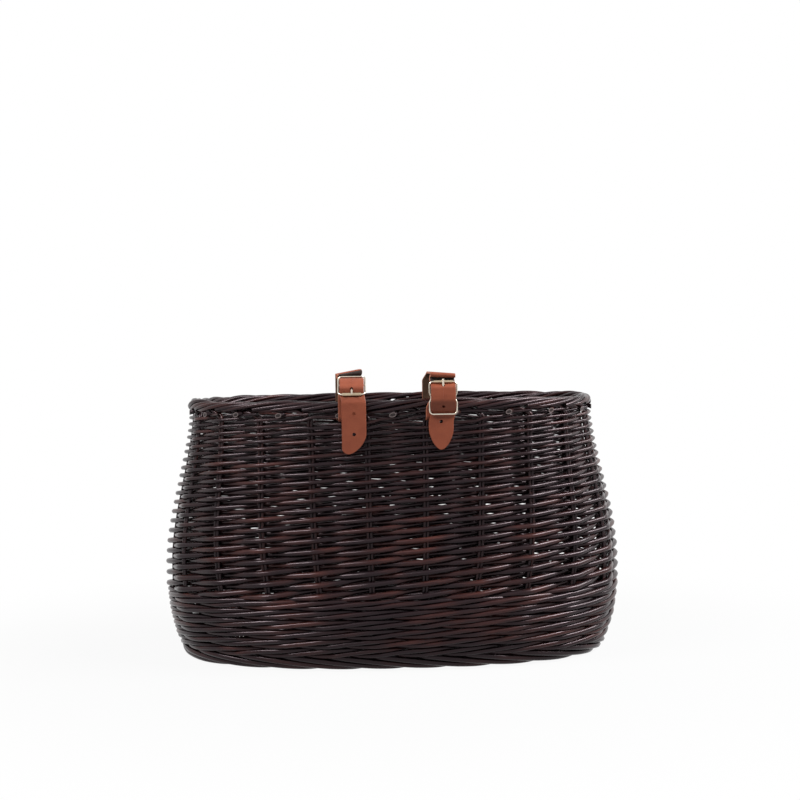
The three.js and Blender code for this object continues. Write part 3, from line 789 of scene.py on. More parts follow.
class RodMesh:
    """A mesh of round rods, laid in one after the other.

    Material index 0 is for a rod's sides, END for its ends and EDGE for the edge of an oblique cut.
    """

    END = 1
    EDGE = 2
    WELD = 1e-7

    def __init__(self) -> None:
        """Starts with no rod."""
        self.bm = bmesh.new()
        self.uv = self.bm.loops.layers.uv.new(UV_NAME)

    @staticmethod
    def _frames(path: np.ndarray, first: np.ndarray, closed: bool) -> tuple[np.ndarray, np.ndarray]:
        """Gives two directions square to a path that turn no more than it does.

        Args:
            path: The points of the path.
            first: Roughly the first direction at the start.
            closed: Whether the path goes back to its start.

        Returns:
            The two directions at each point.
        """
        if closed:
            tangents = np.roll(path, -1, axis=0) - np.roll(path, 1, axis=0)
        else:
            tangents = np.gradient(path, axis=0)
        tangents = unit_rows(tangents)
        side = np.empty_like(path)
        last = first
        for i, tangent in enumerate(tangents):
            last = last - tangent * last.dot(tangent)
            last = last / np.linalg.norm(last)
            side[i] = last
        return side, np.cross(tangents, side)

    def lay(
        self,
        path: np.ndarray,
        radii: object,
        sides: int,
        first: tuple,
        shift: float = 0.0,
        closed: bool = False,
        index: int = 0,
    ) -> list[bmesh.types.BMFace]:
        """Lays in one rod.

        Args:
            path: The points of its middle line.
            radii: Its radius at each point, or one radius.
            sides: The number of its sides.
            first: Roughly the direction of its first side.
            shift: Where its bark pattern starts.
            closed: Whether it is a ring.
            index: The material index of its sides.

        Returns:
            Its faces.
        """
        across, up = self._frames(path, np.array(first, float), closed)
        radii = np.broadcast_to(np.asarray(radii, float), len(path))
        if closed:
            path, across, up = (np.concatenate([v, v[:1]]) for v in (path, across, up))
            radii = np.concatenate([radii, radii[:1]])
        turns = np.linspace(0, 2 * math.pi, sides + 1)
        ring = np.cos(turns)[None, :, None] * across[:, None, :]
        ring = ring + np.sin(turns)[None, :, None] * up[:, None, :]
        spots = (path[:, None, :] + radii[:, None, None] * ring).tolist()
        lengths = lengths_along(path)
        last = len(path) - 1
        grid = bmesh.ops.create_grid(self.bm, x_segments=last, y_segments=sides, size=1.0, calc_uvs=True)
        faces = set()
        for vert in grid["verts"]:
            i = round((vert.co.x + 1) / 2 * last)
            j = round((vert.co.y + 1) / 2 * sides)
            vert.co = spots[i][j]
            faces.update(vert.link_faces)
        girth = 2 * math.pi * float(radii.mean())
        for face in faces:
            face.smooth = True
            face.material_index = index
            for loop in face.loops:
                u, v = loop[self.uv].uv
                loop[self.uv].uv = (lengths[round(u * last)] + shift, v * girth)
        edge = [v for v in grid["verts"] if any(e.is_boundary for e in v.link_edges)]
        bmesh.ops.remove_doubles(self.bm, verts=edge, dist=self.WELD)
        rims = {e for v in edge if v.is_valid for e in v.link_edges if e.is_boundary}
        if rims:
            for rim in rims:
                rim.smooth = False
            ends = bmesh.ops.holes_fill(self.bm, edges=list(rims), sides=0)
            self._flat(ends["faces"], self.END)
            faces.update(ends["faces"])
        return list(faces)

    @staticmethod
    def _flat(faces: list[bmesh.types.BMFace], index: int) -> None:
        """Makes faces flat and gives them a material index."""
        for face in faces:
            face.material_index = index
            face.smooth = False

    def pare(
        self, faces: list[bmesh.types.BMFace], place: np.ndarray, way: np.ndarray, edge: float
    ) -> None:
        """Pares a rod off along a plane, which leaves an oblique cut with a pale edge.

        Args:
            faces: The rod's faces.
            place: A point of the plane.
            way: The direction in which the rod is cut away.
            edge: The width of the pale edge.
        """
        rod = set(faces)
        for face in faces:
            rod.update(face.edges)
            rod.update(face.verts)
        cut = bmesh.ops.bisect_plane(
            self.bm, geom=list(rod), plane_co=Vector(place), plane_no=Vector(way), clear_outer=True
        )
        rim = [item for item in cut["geom_cut"] if isinstance(item, bmesh.types.BMEdge)]
        for item in rim:
            item.smooth = False
        face_of_cut = bmesh.ops.holes_fill(self.bm, edges=rim, sides=0)["faces"]
        ring = bmesh.ops.inset_individual(self.bm, faces=face_of_cut, thickness=edge, use_even_offset=True)
        self._flat(face_of_cut, self.END)
        self._flat(ring["faces"], self.EDGE)

    def finish(self, name: str) -> bpy.types.Mesh:
        """Closes the work.

        Args:
            name: The mesh's name.

        Returns:
            The mesh, with its faces pointing outwards.
        """
        bmesh.ops.recalc_face_normals(self.bm, faces=self.bm.faces[:])
        return as_mesh(self.bm, name)


UP = (0.0, 0.0, 1.0)
ACROSS = (1.0, 0.0, 0.0)
RODS = [BARK, CUT_ROD, PARED_EDGE]
LEATHERS = [GRAIN_SIDE, FLESH_SIDE, CUT_EDGE, PAINTED_SHADE_FOLD]
WIRES = [PLATING, PLATING, ROLLER]
BARK_RUN = 9.0
STAKE_ROD = 2.7 * MM
SLOT_HEIGHT = 216.4 * MM


@dataclass
class WillowWork:
    """What the willow sub-assemblies share."""

    wall: Wall
    shop: Workshop
    seed: int = 11
    sizes: Span = (0.96, 1.03)
    steps: int = 4
    sides: int = 8

    def __post_init__(self) -> None:
        """Seeds the small irregularities of hand work."""
        self.chance = random.Random(self.seed)

    def some_size(self) -> float:
        """Draws how thick a rod is for its kind."""
        return self.chance.uniform(*self.sizes)

    def some_bark(self) -> float:
        """Draws where a rod's bark pattern starts."""
        return self.chance.uniform(0, BARK_RUN)

    def uneven(self, count: int, amount: float) -> np.ndarray:
        """Draws small deviations, one for each place."""
        return np.array([self.chance.gauss(0, amount) for _ in range(count)])

    def deliver(self, name: str, rods: RodMesh, *nodes: str) -> None:
        """Puts a finished set of rods on the basket in place of CAD nodes.

        Args:
            name: The piece's name.
            rods: Its rods.
            nodes: The nodes that it stands for.
        """
        piece = self.shop.deliver(name, rods.finish(name), RODS, Slot.WILLOW)
        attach(piece, BASKET_BODY)
        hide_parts(*nodes)


@dataclass
class SideWeave(WillowWork):
    """French randing: one rod starts at each stake, and all climb together to the right."""

    rows: int = 42
    low: float = 61.6 * MM
    first_pitch: float = 5.12 * MM
    last_pitch: float = 2.7 * MM
    fill: float = 1.02
    stand_off: float = 0.5 * MM
    unevenness: float = 0.16 * MM
    tightness: float = 0.28
    slots: list[Span] = field(default_factory=list)
    slot_room: float = 1.05 * MM
    slot_reach: float = 12 * MM
    slot_margin: float = 3 * MM
    slot_ease: float = 12 * MM

    def parted(self, path: np.ndarray, thick: np.ndarray) -> np.ndarray:
        """Bends a rod up or down, out of the slots that the straps come through.

        Args:
            path: The rod's middle line.
            thick: Its radius at each point.

        Returns:
            The points of its bent middle line.
        """
        bent = path.copy()
        room = self.slot_room + thick
        for low, high in self.slots:
            beyond = np.maximum(low - path[:, 0], path[:, 0] - high)
            away = path[:, 2] - SLOT_HEIGHT
            near = (path[:, 1] < 0) & (np.abs(away) < self.slot_reach)
            inside = near & (beyond < 0)
            if not inside.any():
                continue
            way = 1.0 if away[inside].mean() > 0 else -1.0
            apart = np.maximum(way * away, 0)
            moved = way * (room + apart * (1 - room / self.slot_reach))
            share = smooth_step(1 - (beyond - self.slot_margin) / self.slot_ease)
            bent[:, 2] += np.where(near, share * (moved - away), 0)
        return bent

    def height(self, row: np.ndarray) -> np.ndarray:
        """Gives the height of a row, whose spacing narrows towards the rim."""
        narrowing = (self.first_pitch - self.last_pitch) / (2 * (self.rows - 1))
        return self.low + self.first_pitch * row - narrowing * row * row

    def build(self) -> None:
        """Builds every rod as a piece of its own, through its places at and between the stakes."""
        rows = np.arange(2 * self.rows - 1) / 2
        pitch = self.first_pitch + (self.last_pitch - self.first_pitch) * rows / (self.rows - 1)
        at_stake = rows % 1 == 0
        side = np.where(rows % 2 == 1, 1.0, -1.0) * at_stake
        for k in range(self.wall.stakes):
            radii = self.fill * self.some_size() * pitch / 2
            uneven = self.uneven(len(rows), self.unevenness) * at_stake
            offset = side * (STAKE_ROD / 2 + radii + self.stand_off)
            passes = self.wall.points(k + rows, self.height(rows) + uneven, offset)
            path = spline(passes, self.steps, self.tightness)
            thick = np.interp(np.linspace(0, rows[-1], len(path)), rows, radii)
            rods = RodMesh()
            rods.lay(self.parted(path, thick), thick, self.sides, UP, shift=self.some_bark())
            self.deliver(f"willow_weaver_{k + 1:02d}", rods, f"weaver_{k + 1:02d}")


@dataclass
class Wale(WillowWork):
    """Waling round the foot of the wall: outside two stakes, inside the third, each over the last.

    Rises and passes go by half stakes, from the stake that a rod passes on the inside.
    """

    rod: float = 4.5 * MM
    pitch: float = 8.6 * MM
    low: float = 16.3 * MM
    rounds: int = 6
    rods: int = 3
    start: int = 10
    lead: int = 2
    step_up: float = 3.0
    rises: tuple[float, ...] = (0.0, -0.3, -0.25, 0.0, 0.25, 0.3)
    passes: tuple[float, ...] = (-1.0, 0.1, 1.0, 1.0, 1.0, 0.1)
    stand_off: float = 0.1 * MM
    unevenness: float = 0.22 * MM
    tightness: float = 0.42
    sizes: Span = (0.97, 1.04)

    def level(self, ring: np.ndarray) -> np.ndarray:
        """Gives the round that a place belongs to; the step from one to the next is on the far side."""
        along = ring % self.wall.stakes
        step = smooth_step((along - self.wall.stakes + self.step_up) / self.step_up)
        return np.clip(np.floor(ring / self.wall.stakes) + step, 0, self.rounds - 1)

    def build(self) -> None:
        """Builds the rods, each as a piece of its own."""
        count = self.rounds * self.wall.stakes + self.lead
        count -= count % self.rods
        halves = np.arange(2 * count + 1)
        part = halves % len(self.rises)
        for j in range(self.rods):
            radius = self.rod / 2 * self.some_size()
            ring = halves / 2 + j - self.lead
            uneven = self.uneven(len(halves), self.unevenness)
            z = self.low + self.pitch * (self.level(ring) + np.array(self.rises)[part]) + uneven
            offset = np.array(self.passes)[part] * (STAKE_ROD / 2 + radius + self.stand_off)
            path = spline(self.wall.points(self.start + ring, z, offset), self.steps, self.tightness)
            rods = RodMesh()
            rods.lay(path, radius, self.sides, UP, shift=self.some_bark())
            self.deliver(f"willow_wale_{j + 1}", rods, f"wale_{j + 1}")


@dataclass
class Stakes(WillowWork):
    """Pairs of thin rods that stand in the wall and turn over into the rim border."""

    border_rod: float = 3.5 * MM
    foot: float = 8 * MM
    bend_height: float = 218.5 * MM
    swell_run: float = 8 * MM
    border_height: float = 227.7 * MM
    border_lay: float = 3.5 * MM
    border_run: float = 3.1
    border_run_start: float = 0.07
    border_turn: float = 0.93
    border_turn_start: float = 0.05
    border_points: int = 26
    upright_points: int = 40
    pair: Span = (-0.5, 0.5)
    pair_turn: float = 0.16
    unevenness: float = 0.45 * MM
    steps: int = 2
    nudge: float = 0.01

    def path(self, k: int, share: float) -> np.ndarray:
        """Draws one rod of a pair.

        Args:
            k: The stake.
            share: The rod's place in the pair, -0.5 or 0.5.

        Returns:
            The points of its middle line.
        """
        heights = np.linspace(self.foot, self.bend_height, self.upright_points)
        middle = self.wall.points(k, heights)
        along = unit_rows(self.wall.points(k + self.nudge, heights) - middle)
        upright = middle + along * share * STAKE_ROD
        turns = np.linspace(self.border_turn_start, self.border_turn, self.border_points)
        phase = 2 * math.pi * (turns + share * self.pair_turn)
        places = k - self.border_run * np.linspace(self.border_run_start, 1, self.border_points)
        lay = self.border_lay + self.chance.gauss(0, self.unevenness)
        rise = self.border_height + self.chance.gauss(0, self.unevenness) * np.sin(turns * math.pi)
        edge = self.wall.points(places, rise - lay * np.cos(phase), -lay * np.sin(phase))
        return spline(np.concatenate([upright, edge]), self.steps)

    def build(self) -> None:
        """Builds every pair as a piece of its own."""
        for k in range(self.wall.stakes):
            rods = RodMesh()
            outward = self.wall.points(k, self.foot, self.nudge)[0] - self.wall.points(k, self.foot)[0]
            for share in self.pair:
                path = self.path(k, share)
                swell = smooth_step((path[:, 2] - self.bend_height) / self.swell_run + 0.5)
                radii = (STAKE_ROD + (self.border_rod - STAKE_ROD) * swell) / 2
                rods.lay(path, radii, self.sides, tuple(outward), shift=self.some_bark())
            self.deliver(f"willow_stake_{k + 1:02d}", rods, f"stake_{k + 1:02d}")


@dataclass
class RimEnds(WillowWork):
    """Ends of the border's rods that come out under the rim and are pared off slantwise."""

    rod: float = 4.2 * MM
    height: float = 221.2 * MM
    drop: float = 1.2 * MM
    between: float = 0.5
    slant: float = 0.09
    depth: float = 4 * MM
    proud: float = 5.2 * MM
    edge: float = 0.7 * MM
    wander: float = 0.07
    wander_up: float = 0.7 * MM
    points: int = 5
    sides: int = 12

    def build(self) -> None:
        """Builds all the ends as one piece."""
        rods = RodMesh()
        run = np.linspace(1, -1, self.points)
        for k in range(self.wall.stakes):
            place = k + self.between + self.chance.uniform(-self.wander, self.wander)
            z = self.height + self.chance.uniform(-self.wander_up, self.wander_up)
            heights = z + self.drop * run
            path = self.wall.points(place + self.slant * run, heights, self.proud - self.depth * run)
            faces = rods.lay(path, self.rod / 2, self.sides, UP, shift=self.some_bark())
            surface = self.wall.points(place, z, self.proud)[0]
            outward = surface - self.wall.points(place, z)[0]
            rods.pare(faces, surface, outward, self.edge)
        piece = self.shop.deliver("willow_rim_ends", rods.finish("willow_rim_ends"), RODS, Slot.WILLOW)
        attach(piece, BASKET_BODY)


@dataclass
class FootBorder(WillowWork):
    """Foot of the basket: a rod from each stake turned down to the right and tucked under.

    Places are counted in stakes from the rod's own, heights and offsets are in millimetres.
    """

    rod: float = 5.2 * MM
    places: tuple[float, ...] = (-0.5, -0.15, 0.2, 0.7, 1.3, 1.9, 2.4, 2.8)
    heights: tuple[float, ...] = (13.5, 13.0, 11.8, 9.2, 6.2, 3.8, 2.9, 4.0)
    offsets: tuple[float, ...] = (-4.0, -0.5, 3.0, 4.2, 4.2, 3.4, 0.5, -3.5)
    steps: int = 6

    def build(self) -> None:
        """Builds the border as one piece."""
        rods = RodMesh()
        heights = np.array(self.heights) * MM
        offsets = np.array(self.offsets) * MM
        for k in range(self.wall.stakes):
            points = self.wall.points(k + np.array(self.places), heights, offsets)
            radius = self.rod / 2 * self.some_size()
            rods.lay(spline(points, self.steps), radius, self.sides, UP, shift=self.some_bark())
        self.deliver("willow_foot", rods, "foot_border")


@dataclass
class Base(WillowWork):
    """Oval base: sticks that fan out from a spine, and bands of thin rods woven round them."""

    sticks: int = 13
    stick: float = 4 * MM
    spine: float = 75 * MM
    rod: float = 3.4 * MM
    band: int = 3
    spine_rods: int = 5
    rounds: int = 12
    height: float = 13.2 * MM
    lift: float = 2.2 * MM
    stick_end: float = 0.985
    band_end: float = 0.99
    points: int = 12
    steps: int = 5
    band_sides: int = 6

    def at(self, places: np.ndarray, shares: np.ndarray, lift: np.ndarray) -> np.ndarray:
        """Gives points of the base.

        Args:
            places: Places round it, counted in stakes.
            shares: How far out they are, from 0 on the spine to 1 at the wall.
            lift: Heights over the middle of the base.

        Returns:
            One row for each point.
        """
        edge = self.wall.points(places, self.height)
        spine = edge * np.array([self.spine / (self.wall.belly_width / 2), 0.0, 1.0])
        points = spine + (edge - spine) * np.atleast_1d(shares)[:, None]
        points[:, 2] += lift
        return points

    def build(self) -> None:
        """Builds the base as one piece."""
        rods = RodMesh()
        apart = self.wall.stakes / self.sticks
        for k in range(self.sticks):
            shares = np.linspace(0.0, self.stick_end, self.points)
            path = self.at(np.full(self.points, k * apart), shares, np.zeros(self.points))
            rods.lay(path, self.stick / 2, self.sides, UP, shift=self.some_bark())
        passes = np.arange((self.rounds - 1) * self.sticks + 1)
        first = 1 / (2 * self.rounds)
        lift = np.where(passes % 2 == 0, -self.lift, self.lift)
        between = (1 - first) / (self.rounds - 1) / self.band
        for j in range(self.band):
            shares = first + (1 - first) * passes / passes[-1] + (j - 1) * between
            path = spline(self.at(passes * apart, np.clip(shares, 0.0, self.band_end), lift), self.steps)
            rods.lay(path, self.rod / 2, self.band_sides, UP, shift=self.some_bark())
        for j in range(self.spine_rods):
            x = np.linspace(-self.spine, self.spine, self.points)
            y = np.full(self.points, (j - (self.spine_rods - 1) / 2) * self.rod)
            path = np.stack([x, y, np.full(self.points, self.height)], axis=1)
            rods.lay(path, self.rod / 2, self.sides, UP, shift=self.some_bark())
        self.deliver("willow_base", rods, "base_mat")


@dataclass(frozen=True)
class StrapFit:
    """How one strap is cut and hangs, where the two differ.

    Attributes:
        lean: How far the buckle leans out from the upright, in degrees.
        prong_way: 1 where the prong points up, -1 where it points down.
        fixed_gap: From the middle bar back to the leg in front of the border.
        leg_gap: From the loop's back forward to the leg behind the border.
        holes: The heights of the holes in the hanging end.
        width: The strap's width.
        tip_point: Where its tip is, from -1 at the left edge to 1 at the right.
        tip_runs: How long each edge takes to run in to the tip.
        tilt: How much the loop rises to the right.
        tail_shift: How far the hanging end swings to the right.
        fixed_shift: How far the front leg does.
        back_shift: How far the back leg does.
        sideways: How far the whole strap sits to the right of its node.
        loop_drop: How far the loop lies below the top of its node.
        loop_ease: How much of the back leg's swing the loop leaves out.
        loop_front: How far the loop's lip stands back from the top bar.
        loop_behind: How far back from the top bar it is folded in under.
        loop_bend: The radius at the loop's back.
        pinch: How far the buckle is drawn in at its waist.
        lip: How far past the fold the painted shade on the underside starts.
    """

    lean: float
    prong_way: int
    fixed_gap: float
    leg_gap: float
    holes: tuple[float, ...]
    width: float
    tip_point: float
    tip_runs: Span
    tilt: float
    tail_shift: float
    fixed_shift: float
    back_shift: float
    sideways: float
    loop_drop: float
    loop_ease: float
    loop_front: float
    loop_behind: float
    loop_bend: float
    pinch: float
    lip: float


FITS = {
    Side.LEFT: StrapFit(
        lean=59,
        prong_way=-1,
        fixed_gap=-2 * MM,
        leg_gap=3 * MM,
        holes=(222.5 * MM, 205 * MM),
        width=20.8 * MM,
        tip_point=-0.5,
        tip_runs=(4.3 * MM, 16.5 * MM),
        tilt=0.18,
        tail_shift=1.5 * MM,
        fixed_shift=-1.4 * MM,
        back_shift=-3.7 * MM,
        sideways=1.7 * MM,
        loop_drop=1.5 * MM,
        loop_ease=0.0,
        loop_front=2.2 * MM,
        loop_behind=5.8 * MM,
        loop_bend=2.5 * MM,
        pinch=0.1 * MM,
        lip=-0.6 * MM,
    ),
    Side.RIGHT: StrapFit(
        lean=0,
        prong_way=1,
        fixed_gap=5.3 * MM,
        leg_gap=0.0,
        holes=(227.8 * MM, 214.4 * MM),
        width=21.2 * MM,
        tip_point=0.0,
        tip_runs=(17.5 * MM, 17.5 * MM),
        tilt=-0.08,
        tail_shift=-1.9 * MM,
        fixed_shift=-3.3 * MM,
        back_shift=-6.3 * MM,
        sideways=1.8 * MM,
        loop_drop=0.0,
        loop_ease=0.5,
        loop_front=-1.2 * MM,
        loop_behind=4.5 * MM,
        loop_bend=6 * MM,
        pinch=1.3 * MM,
        lip=1.5 * MM,
    ),
}


@dataclass
class StrapWork:
    """What a strap's leather and its buckle share: the buckle's place and its own axes.

    In these, u goes up along the buckle and n out of it, both from the buckle's middle bar.
    """

    side: Side
    shop: Workshop
    joints: dict[str, dict]
    wire: float = 1.5 * MM
    reach: float = 13.9 * MM

    def __post_init__(self) -> None:
        """Finds the buckle's middle bar and its axes."""
        self.fit = FITS[self.side]
        bar = Vector(self.joints[self.named("prong_turn")]["pos_m"])
        self.middle = bar.x + self.fit.sideways
        self.bar = Vector((bar.y, bar.z))
        turn = math.radians(self.fit.lean)
        self.up = Vector((math.sin(turn), math.cos(turn)))
        self.out = Vector((-math.cos(turn), math.sin(turn)))

    def named(self, name: str) -> str:
        """Puts the side before a name."""
        return f"{self.side.value}_{name}"

    def at(self, u: float, n: float) -> Vector:
        """Gives a point in Y and Z from a place in the buckle's axes."""
        return self.bar + self.up * u + self.out * n


@dataclass
class Leather(StrapWork):
    """One leather strap, in two pieces that meet behind the buckle's top bar.

    A crest or dive is a place along the buckle and the radius of the bend there, with the place out of the
    buckle between them for the crest under the pin.
    """

    thickness: float = 2 * MM
    edge_round: float = 0.45 * MM
    edge_segments: int = 3
    row_length: float = 0.8 * MM
    columns: int = 14
    crease: float = 0.8
    slack: float = 0.7 * MM
    over_gap: float = 0.35 * MM
    under_gap: float = 0.2 * MM
    hook_degrees: range = range(-50, 171, 10)
    neck_end: float = 11 * MM
    neck_run: float = 3 * MM
    leg_drop: float = 10 * MM
    leg_bend: float = 12 * MM
    slot_bend: float = 3 * MM
    lip_drop: float = 2.5 * MM
    lip_bend: float = 1.1 * MM
    crest: Span = (2.5 * MM, 5 * MM)
    pin_crest: tuple[float, float, float] = (9.5 * MM, 4 * MM, 2.5 * MM)
    pin_dive: Span = (12.3 * MM, 1.6 * MM)
    plain_dive: Span = (12.4 * MM, 5 * MM)
    low_bar_room: float = 0.8 * MM
    low_bar_bend: float = 1.6 * MM
    tail_bend: float = 3 * MM
    tail_swing: Span = (2 * MM, 10 * MM)
    tail_blend: Span = (1 * MM, 6 * MM)
    tip_crowd: float = 6 * MM
    tip_least: float = 0.06
    tip_powers: Span = (1.5, 0.55)
    hole: float = 3 * MM
    hole_sides: int = 20
    slit: float = 0.04 * MM
    pin_place: Span = (10.2 * MM, 2.35 * MM)

    def __post_init__(self) -> None:
        """Finds the strap's distances from the buckle's bars."""
        super().__post_init__()
        self.flex = Vector(self.joints[self.named("tail_flex")]["pos_m"])
        self.hook = self.wire / 2 + self.slack + self.thickness / 2
        self.over = self.hook + self.thickness + self.over_gap
        self.under = self.hook + self.under_gap
        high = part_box(self.named("strap"))[1]
        self.loop_back = high.y - self.thickness / 2
        self.loop_top = high.z - self.thickness / 2 - self.fit.loop_drop
        self.tail_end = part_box(self.named("strap_tail"))[0].z
        self.back_leg = self.loop_back - self.fit.leg_gap
        self.fixed_leg = self.bar.x + self.fit.fixed_gap

    def slot(self) -> Span:
        """Gives the stretch of wall, from side to side, that the strap comes through as it slides."""
        slide = self.joints[self.named("strap_slide")]
        travel = slide["axis"][0] * slide["range_m"][1]
        edges = [
            self.middle + way * self.fit.width / 2 + shift + move
            for way in (-1, 1)
            for shift in (self.fit.fixed_shift, self.fit.back_shift)
            for move in (0.0, travel)
        ]
        return min(edges) - self.slack, max(edges) + self.slack

    def back_line(self) -> np.ndarray:
        """Draws the middle line of the strap's back part.

        Returns:
            Its points: round the middle bar, under the border, up inside and over to the top bar.
        """
        hook = []
        for degrees in self.hook_degrees:
            a = math.radians(degrees)
            hook.append(tuple(self.at(self.hook * math.sin(a), self.hook * math.cos(a))))
        corners = [(self.at(0, -self.hook), 0.0)]
        corners.append((Vector((self.fixed_leg, self.bar.y - self.leg_drop)), self.leg_bend))
        corners.append((Vector((self.fixed_leg, SLOT_HEIGHT)), self.slot_bend))
        corners.append((Vector((self.back_leg, SLOT_HEIGHT)), self.slot_bend))
        corners += self.loop()
        corners.append((self.at(self.reach, -self.under), 0.0))
        return np.concatenate([np.array(hook), rounded(corners)])

    def loop(self) -> list[Corner]:
        """Gives the corners of the loop over the rim, whose lip hangs over the buckle's top bar."""
        top_bar = self.at(self.reach, 0)
        front = top_bar.x + self.fit.loop_front
        behind = top_bar.x + self.fit.loop_behind
        return [
            (Vector((self.loop_back, self.loop_top)), self.fit.loop_bend),
            (Vector((front, self.loop_top)), self.thickness / 2),
            (Vector((front, self.loop_top - self.thickness)), self.thickness / 2),
            (Vector((behind, self.loop_top - self.lip_drop)), self.lip_bend),
        ]

    def dive(self, way: int) -> list[Corner]:
        """Gives the corners where the strap goes from over the middle bar to behind an end bar.

        Args:
            way: Which end bar, 1 for the top one and -1 for the lower one.

        Returns:
            The corners, from the middle bar outwards.
        """
        crest, crest_bend = self.crest
        corners = [(self.at(way * crest, self.over), crest_bend)]
        end, end_bend = self.plain_dive
        if way == self.fit.prong_way:
            u, n, bend = self.pin_crest
            corners.append((self.at(way * u, n), bend))
            end, end_bend = self.pin_dive
        corners.append((self.at(way * end, -self.under), end_bend))
        return corners

    def front_line(self) -> np.ndarray:
        """Draws the middle line of the strap's front part, from behind the top bar to the tip."""
        tail = Vector((self.flex.y + self.thickness / 2, self.flex.z))
        corners = [(self.at(self.reach, -self.under), 0.0)]
        corners += reversed(self.dive(1))
        corners += self.dive(-1)
        corners.append((self.at(-self.reach - self.low_bar_room, -self.under), self.low_bar_bend))
        corners.append((tail, self.tail_bend))
        corners.append((Vector((tail.x, self.tail_end)), 0.0))
        return rounded(corners)

    def blank(self, name: str, length: float) -> bpy.types.Mesh:
        """Cuts a plain length of strap, flat and with rounded edges.

        Args:
            name: The mesh's name.
            length: Its length.

        Returns:
            The flat mesh: X across, Y along the strap, Z through it.
        """
        bm = bmesh.new()
        rows = math.ceil(length / self.row_length)
        bmesh.ops.create_grid(bm, x_segments=self.columns, y_segments=rows, size=1.0)
        bmesh.ops.translate(bm, verts=bm.verts[:], vec=(0, 1, 0))
        bmesh.ops.scale(bm, verts=bm.verts[:], vec=(self.fit.width / 2, length / 2, 1))
        bmesh.ops.solidify(bm, geom=bm.faces[:], thickness=self.thickness)
        middle = sum(v.co.z for v in bm.verts) / len(bm.verts)
        bmesh.ops.translate(bm, verts=bm.verts[:], vec=(0, 0, -middle))
        bmesh.ops.recalc_face_normals(bm, faces=bm.faces[:])
        for face in bm.faces:
            if abs(face.normal.z) < 0.5:
                side = CUT_EDGE
            else:
                side = GRAIN_SIDE if face.normal.z > 0 else FLESH_SIDE
            face.material_index = LEATHERS.index(side)
        sharp = [e for e in bm.edges if e.is_manifold and e.calc_face_angle() > self.crease]
        bmesh.ops.bevel(
            bm,
            geom=sharp,
            offset=self.edge_round,
            offset_type="OFFSET",
            segments=self.edge_segments,
            profile=0.5,
            affect="EDGES",
            material=-1,
        )
        for face in bm.faces:
            face.smooth = True
        return as_mesh(bm, name)

    def neck(self, mesh: bpy.types.Mesh) -> None:
        """Narrows the start of a flat strap, where it is hooked inside the buckle's waist."""
        inner = self.fit.width / 2 - self.wire / 2 - self.fit.pinch
        narrow = inner / (self.fit.width / 2)
        for vert in mesh.vertices:
            wide = float(smooth_step(np.array((vert.co.y - self.neck_end) / self.neck_run)))
            vert.co.x *= narrow + (1 - narrow) * wide

    def point(self, mesh: bpy.types.Mesh, length: float) -> None:
        """Trims the end of a flat strap to its point.

        Args:
            mesh: The flat mesh.
            length: Its length.
        """
        inner, outer = self.tip_powers
        for vert in mesh.vertices:
            left = length - vert.co.y
            if left < self.tip_crowd:
                left = left * left / self.tip_crowd
                vert.co.y = length - left
            edges = []
            for run in self.fit.tip_runs:
                w = min(1.0, left / run)
                edges.append(max(self.tip_least, (1 - (1 - w) ** inner) ** outer))
            share = vert.co.x / (self.fit.width / 2)
            low = self.fit.tip_point - (1 + self.fit.tip_point) * edges[0]
            high = self.fit.tip_point + (1 - self.fit.tip_point) * edges[1]
            vert.co.x = (low + (high - low) * (share + 1) / 2) * self.fit.width / 2

    @staticmethod
    def tool(name: str, bm: bmesh.types.BMesh) -> bpy.types.Object:
        """Makes a cutting tool, whose cuts look like the strap's cut edge."""
        for face in bm.faces:
            face.material_index = LEATHERS.index(CUT_EDGE)
        return in_scene(name, as_mesh(bm, name))

    def punch(self, mesh: bpy.types.Mesh, holes: list[float], slit: Span) -> bpy.types.Mesh:
        """Punches round holes through a flat strap, and slits it where the prong comes out.

        Args:
            mesh: The flat mesh.
            holes: Each hole's place along it.
            slit: Where the slit starts and ends.

        Returns:
            The punched mesh.
        """
        rounds = bmesh.new()
        deep = 4 * self.thickness
        radius = self.hole / 2
        for place in holes:
            peg = bmesh.ops.create_cone(
                rounds,
                cap_ends=True,
                segments=self.hole_sides,
                radius1=radius,
                radius2=radius,
                depth=deep,
            )
            bmesh.ops.translate(rounds, verts=peg["verts"], vec=(0, place, 0))
        knife = bmesh.new()
        bmesh.ops.create_cube(knife, size=1.0)
        bmesh.ops.scale(knife, verts=knife.verts[:], vec=(self.slit, slit[1] - slit[0], deep))
        bmesh.ops.translate(knife, verts=knife.verts[:], vec=(0, (slit[0] + slit[1]) / 2, 0))
        blank = in_scene("blank", mesh)
        tools = [self.tool("punches", rounds), self.tool("knife", knife)]
        for obj in (blank, *tools):
            for finish in LEATHERS:
                obj.data.materials.append(self.shop.finish(finish))
        for tool in tools:
            modifier = blank.modifiers.new(tool.name, "BOOLEAN")
            modifier.operation = "DIFFERENCE"
            modifier.solver = "EXACT"
            modifier.object = tool
        graph = bpy.context.evaluated_depsgraph_get()
        punched = bpy.data.meshes.new_from_object(blank.evaluated_get(graph))
        punched.materials.clear()
        bm = bmesh.new()
        bm.from_mesh(punched)
        for edge in bm.edges:
            edge.smooth = edge.calc_face_angle(0.0) < self.crease
        bm.to_mesh(punched)
        bm.free()
        for obj in (blank, *tools):
            bpy.data.objects.remove(obj)
        return punched

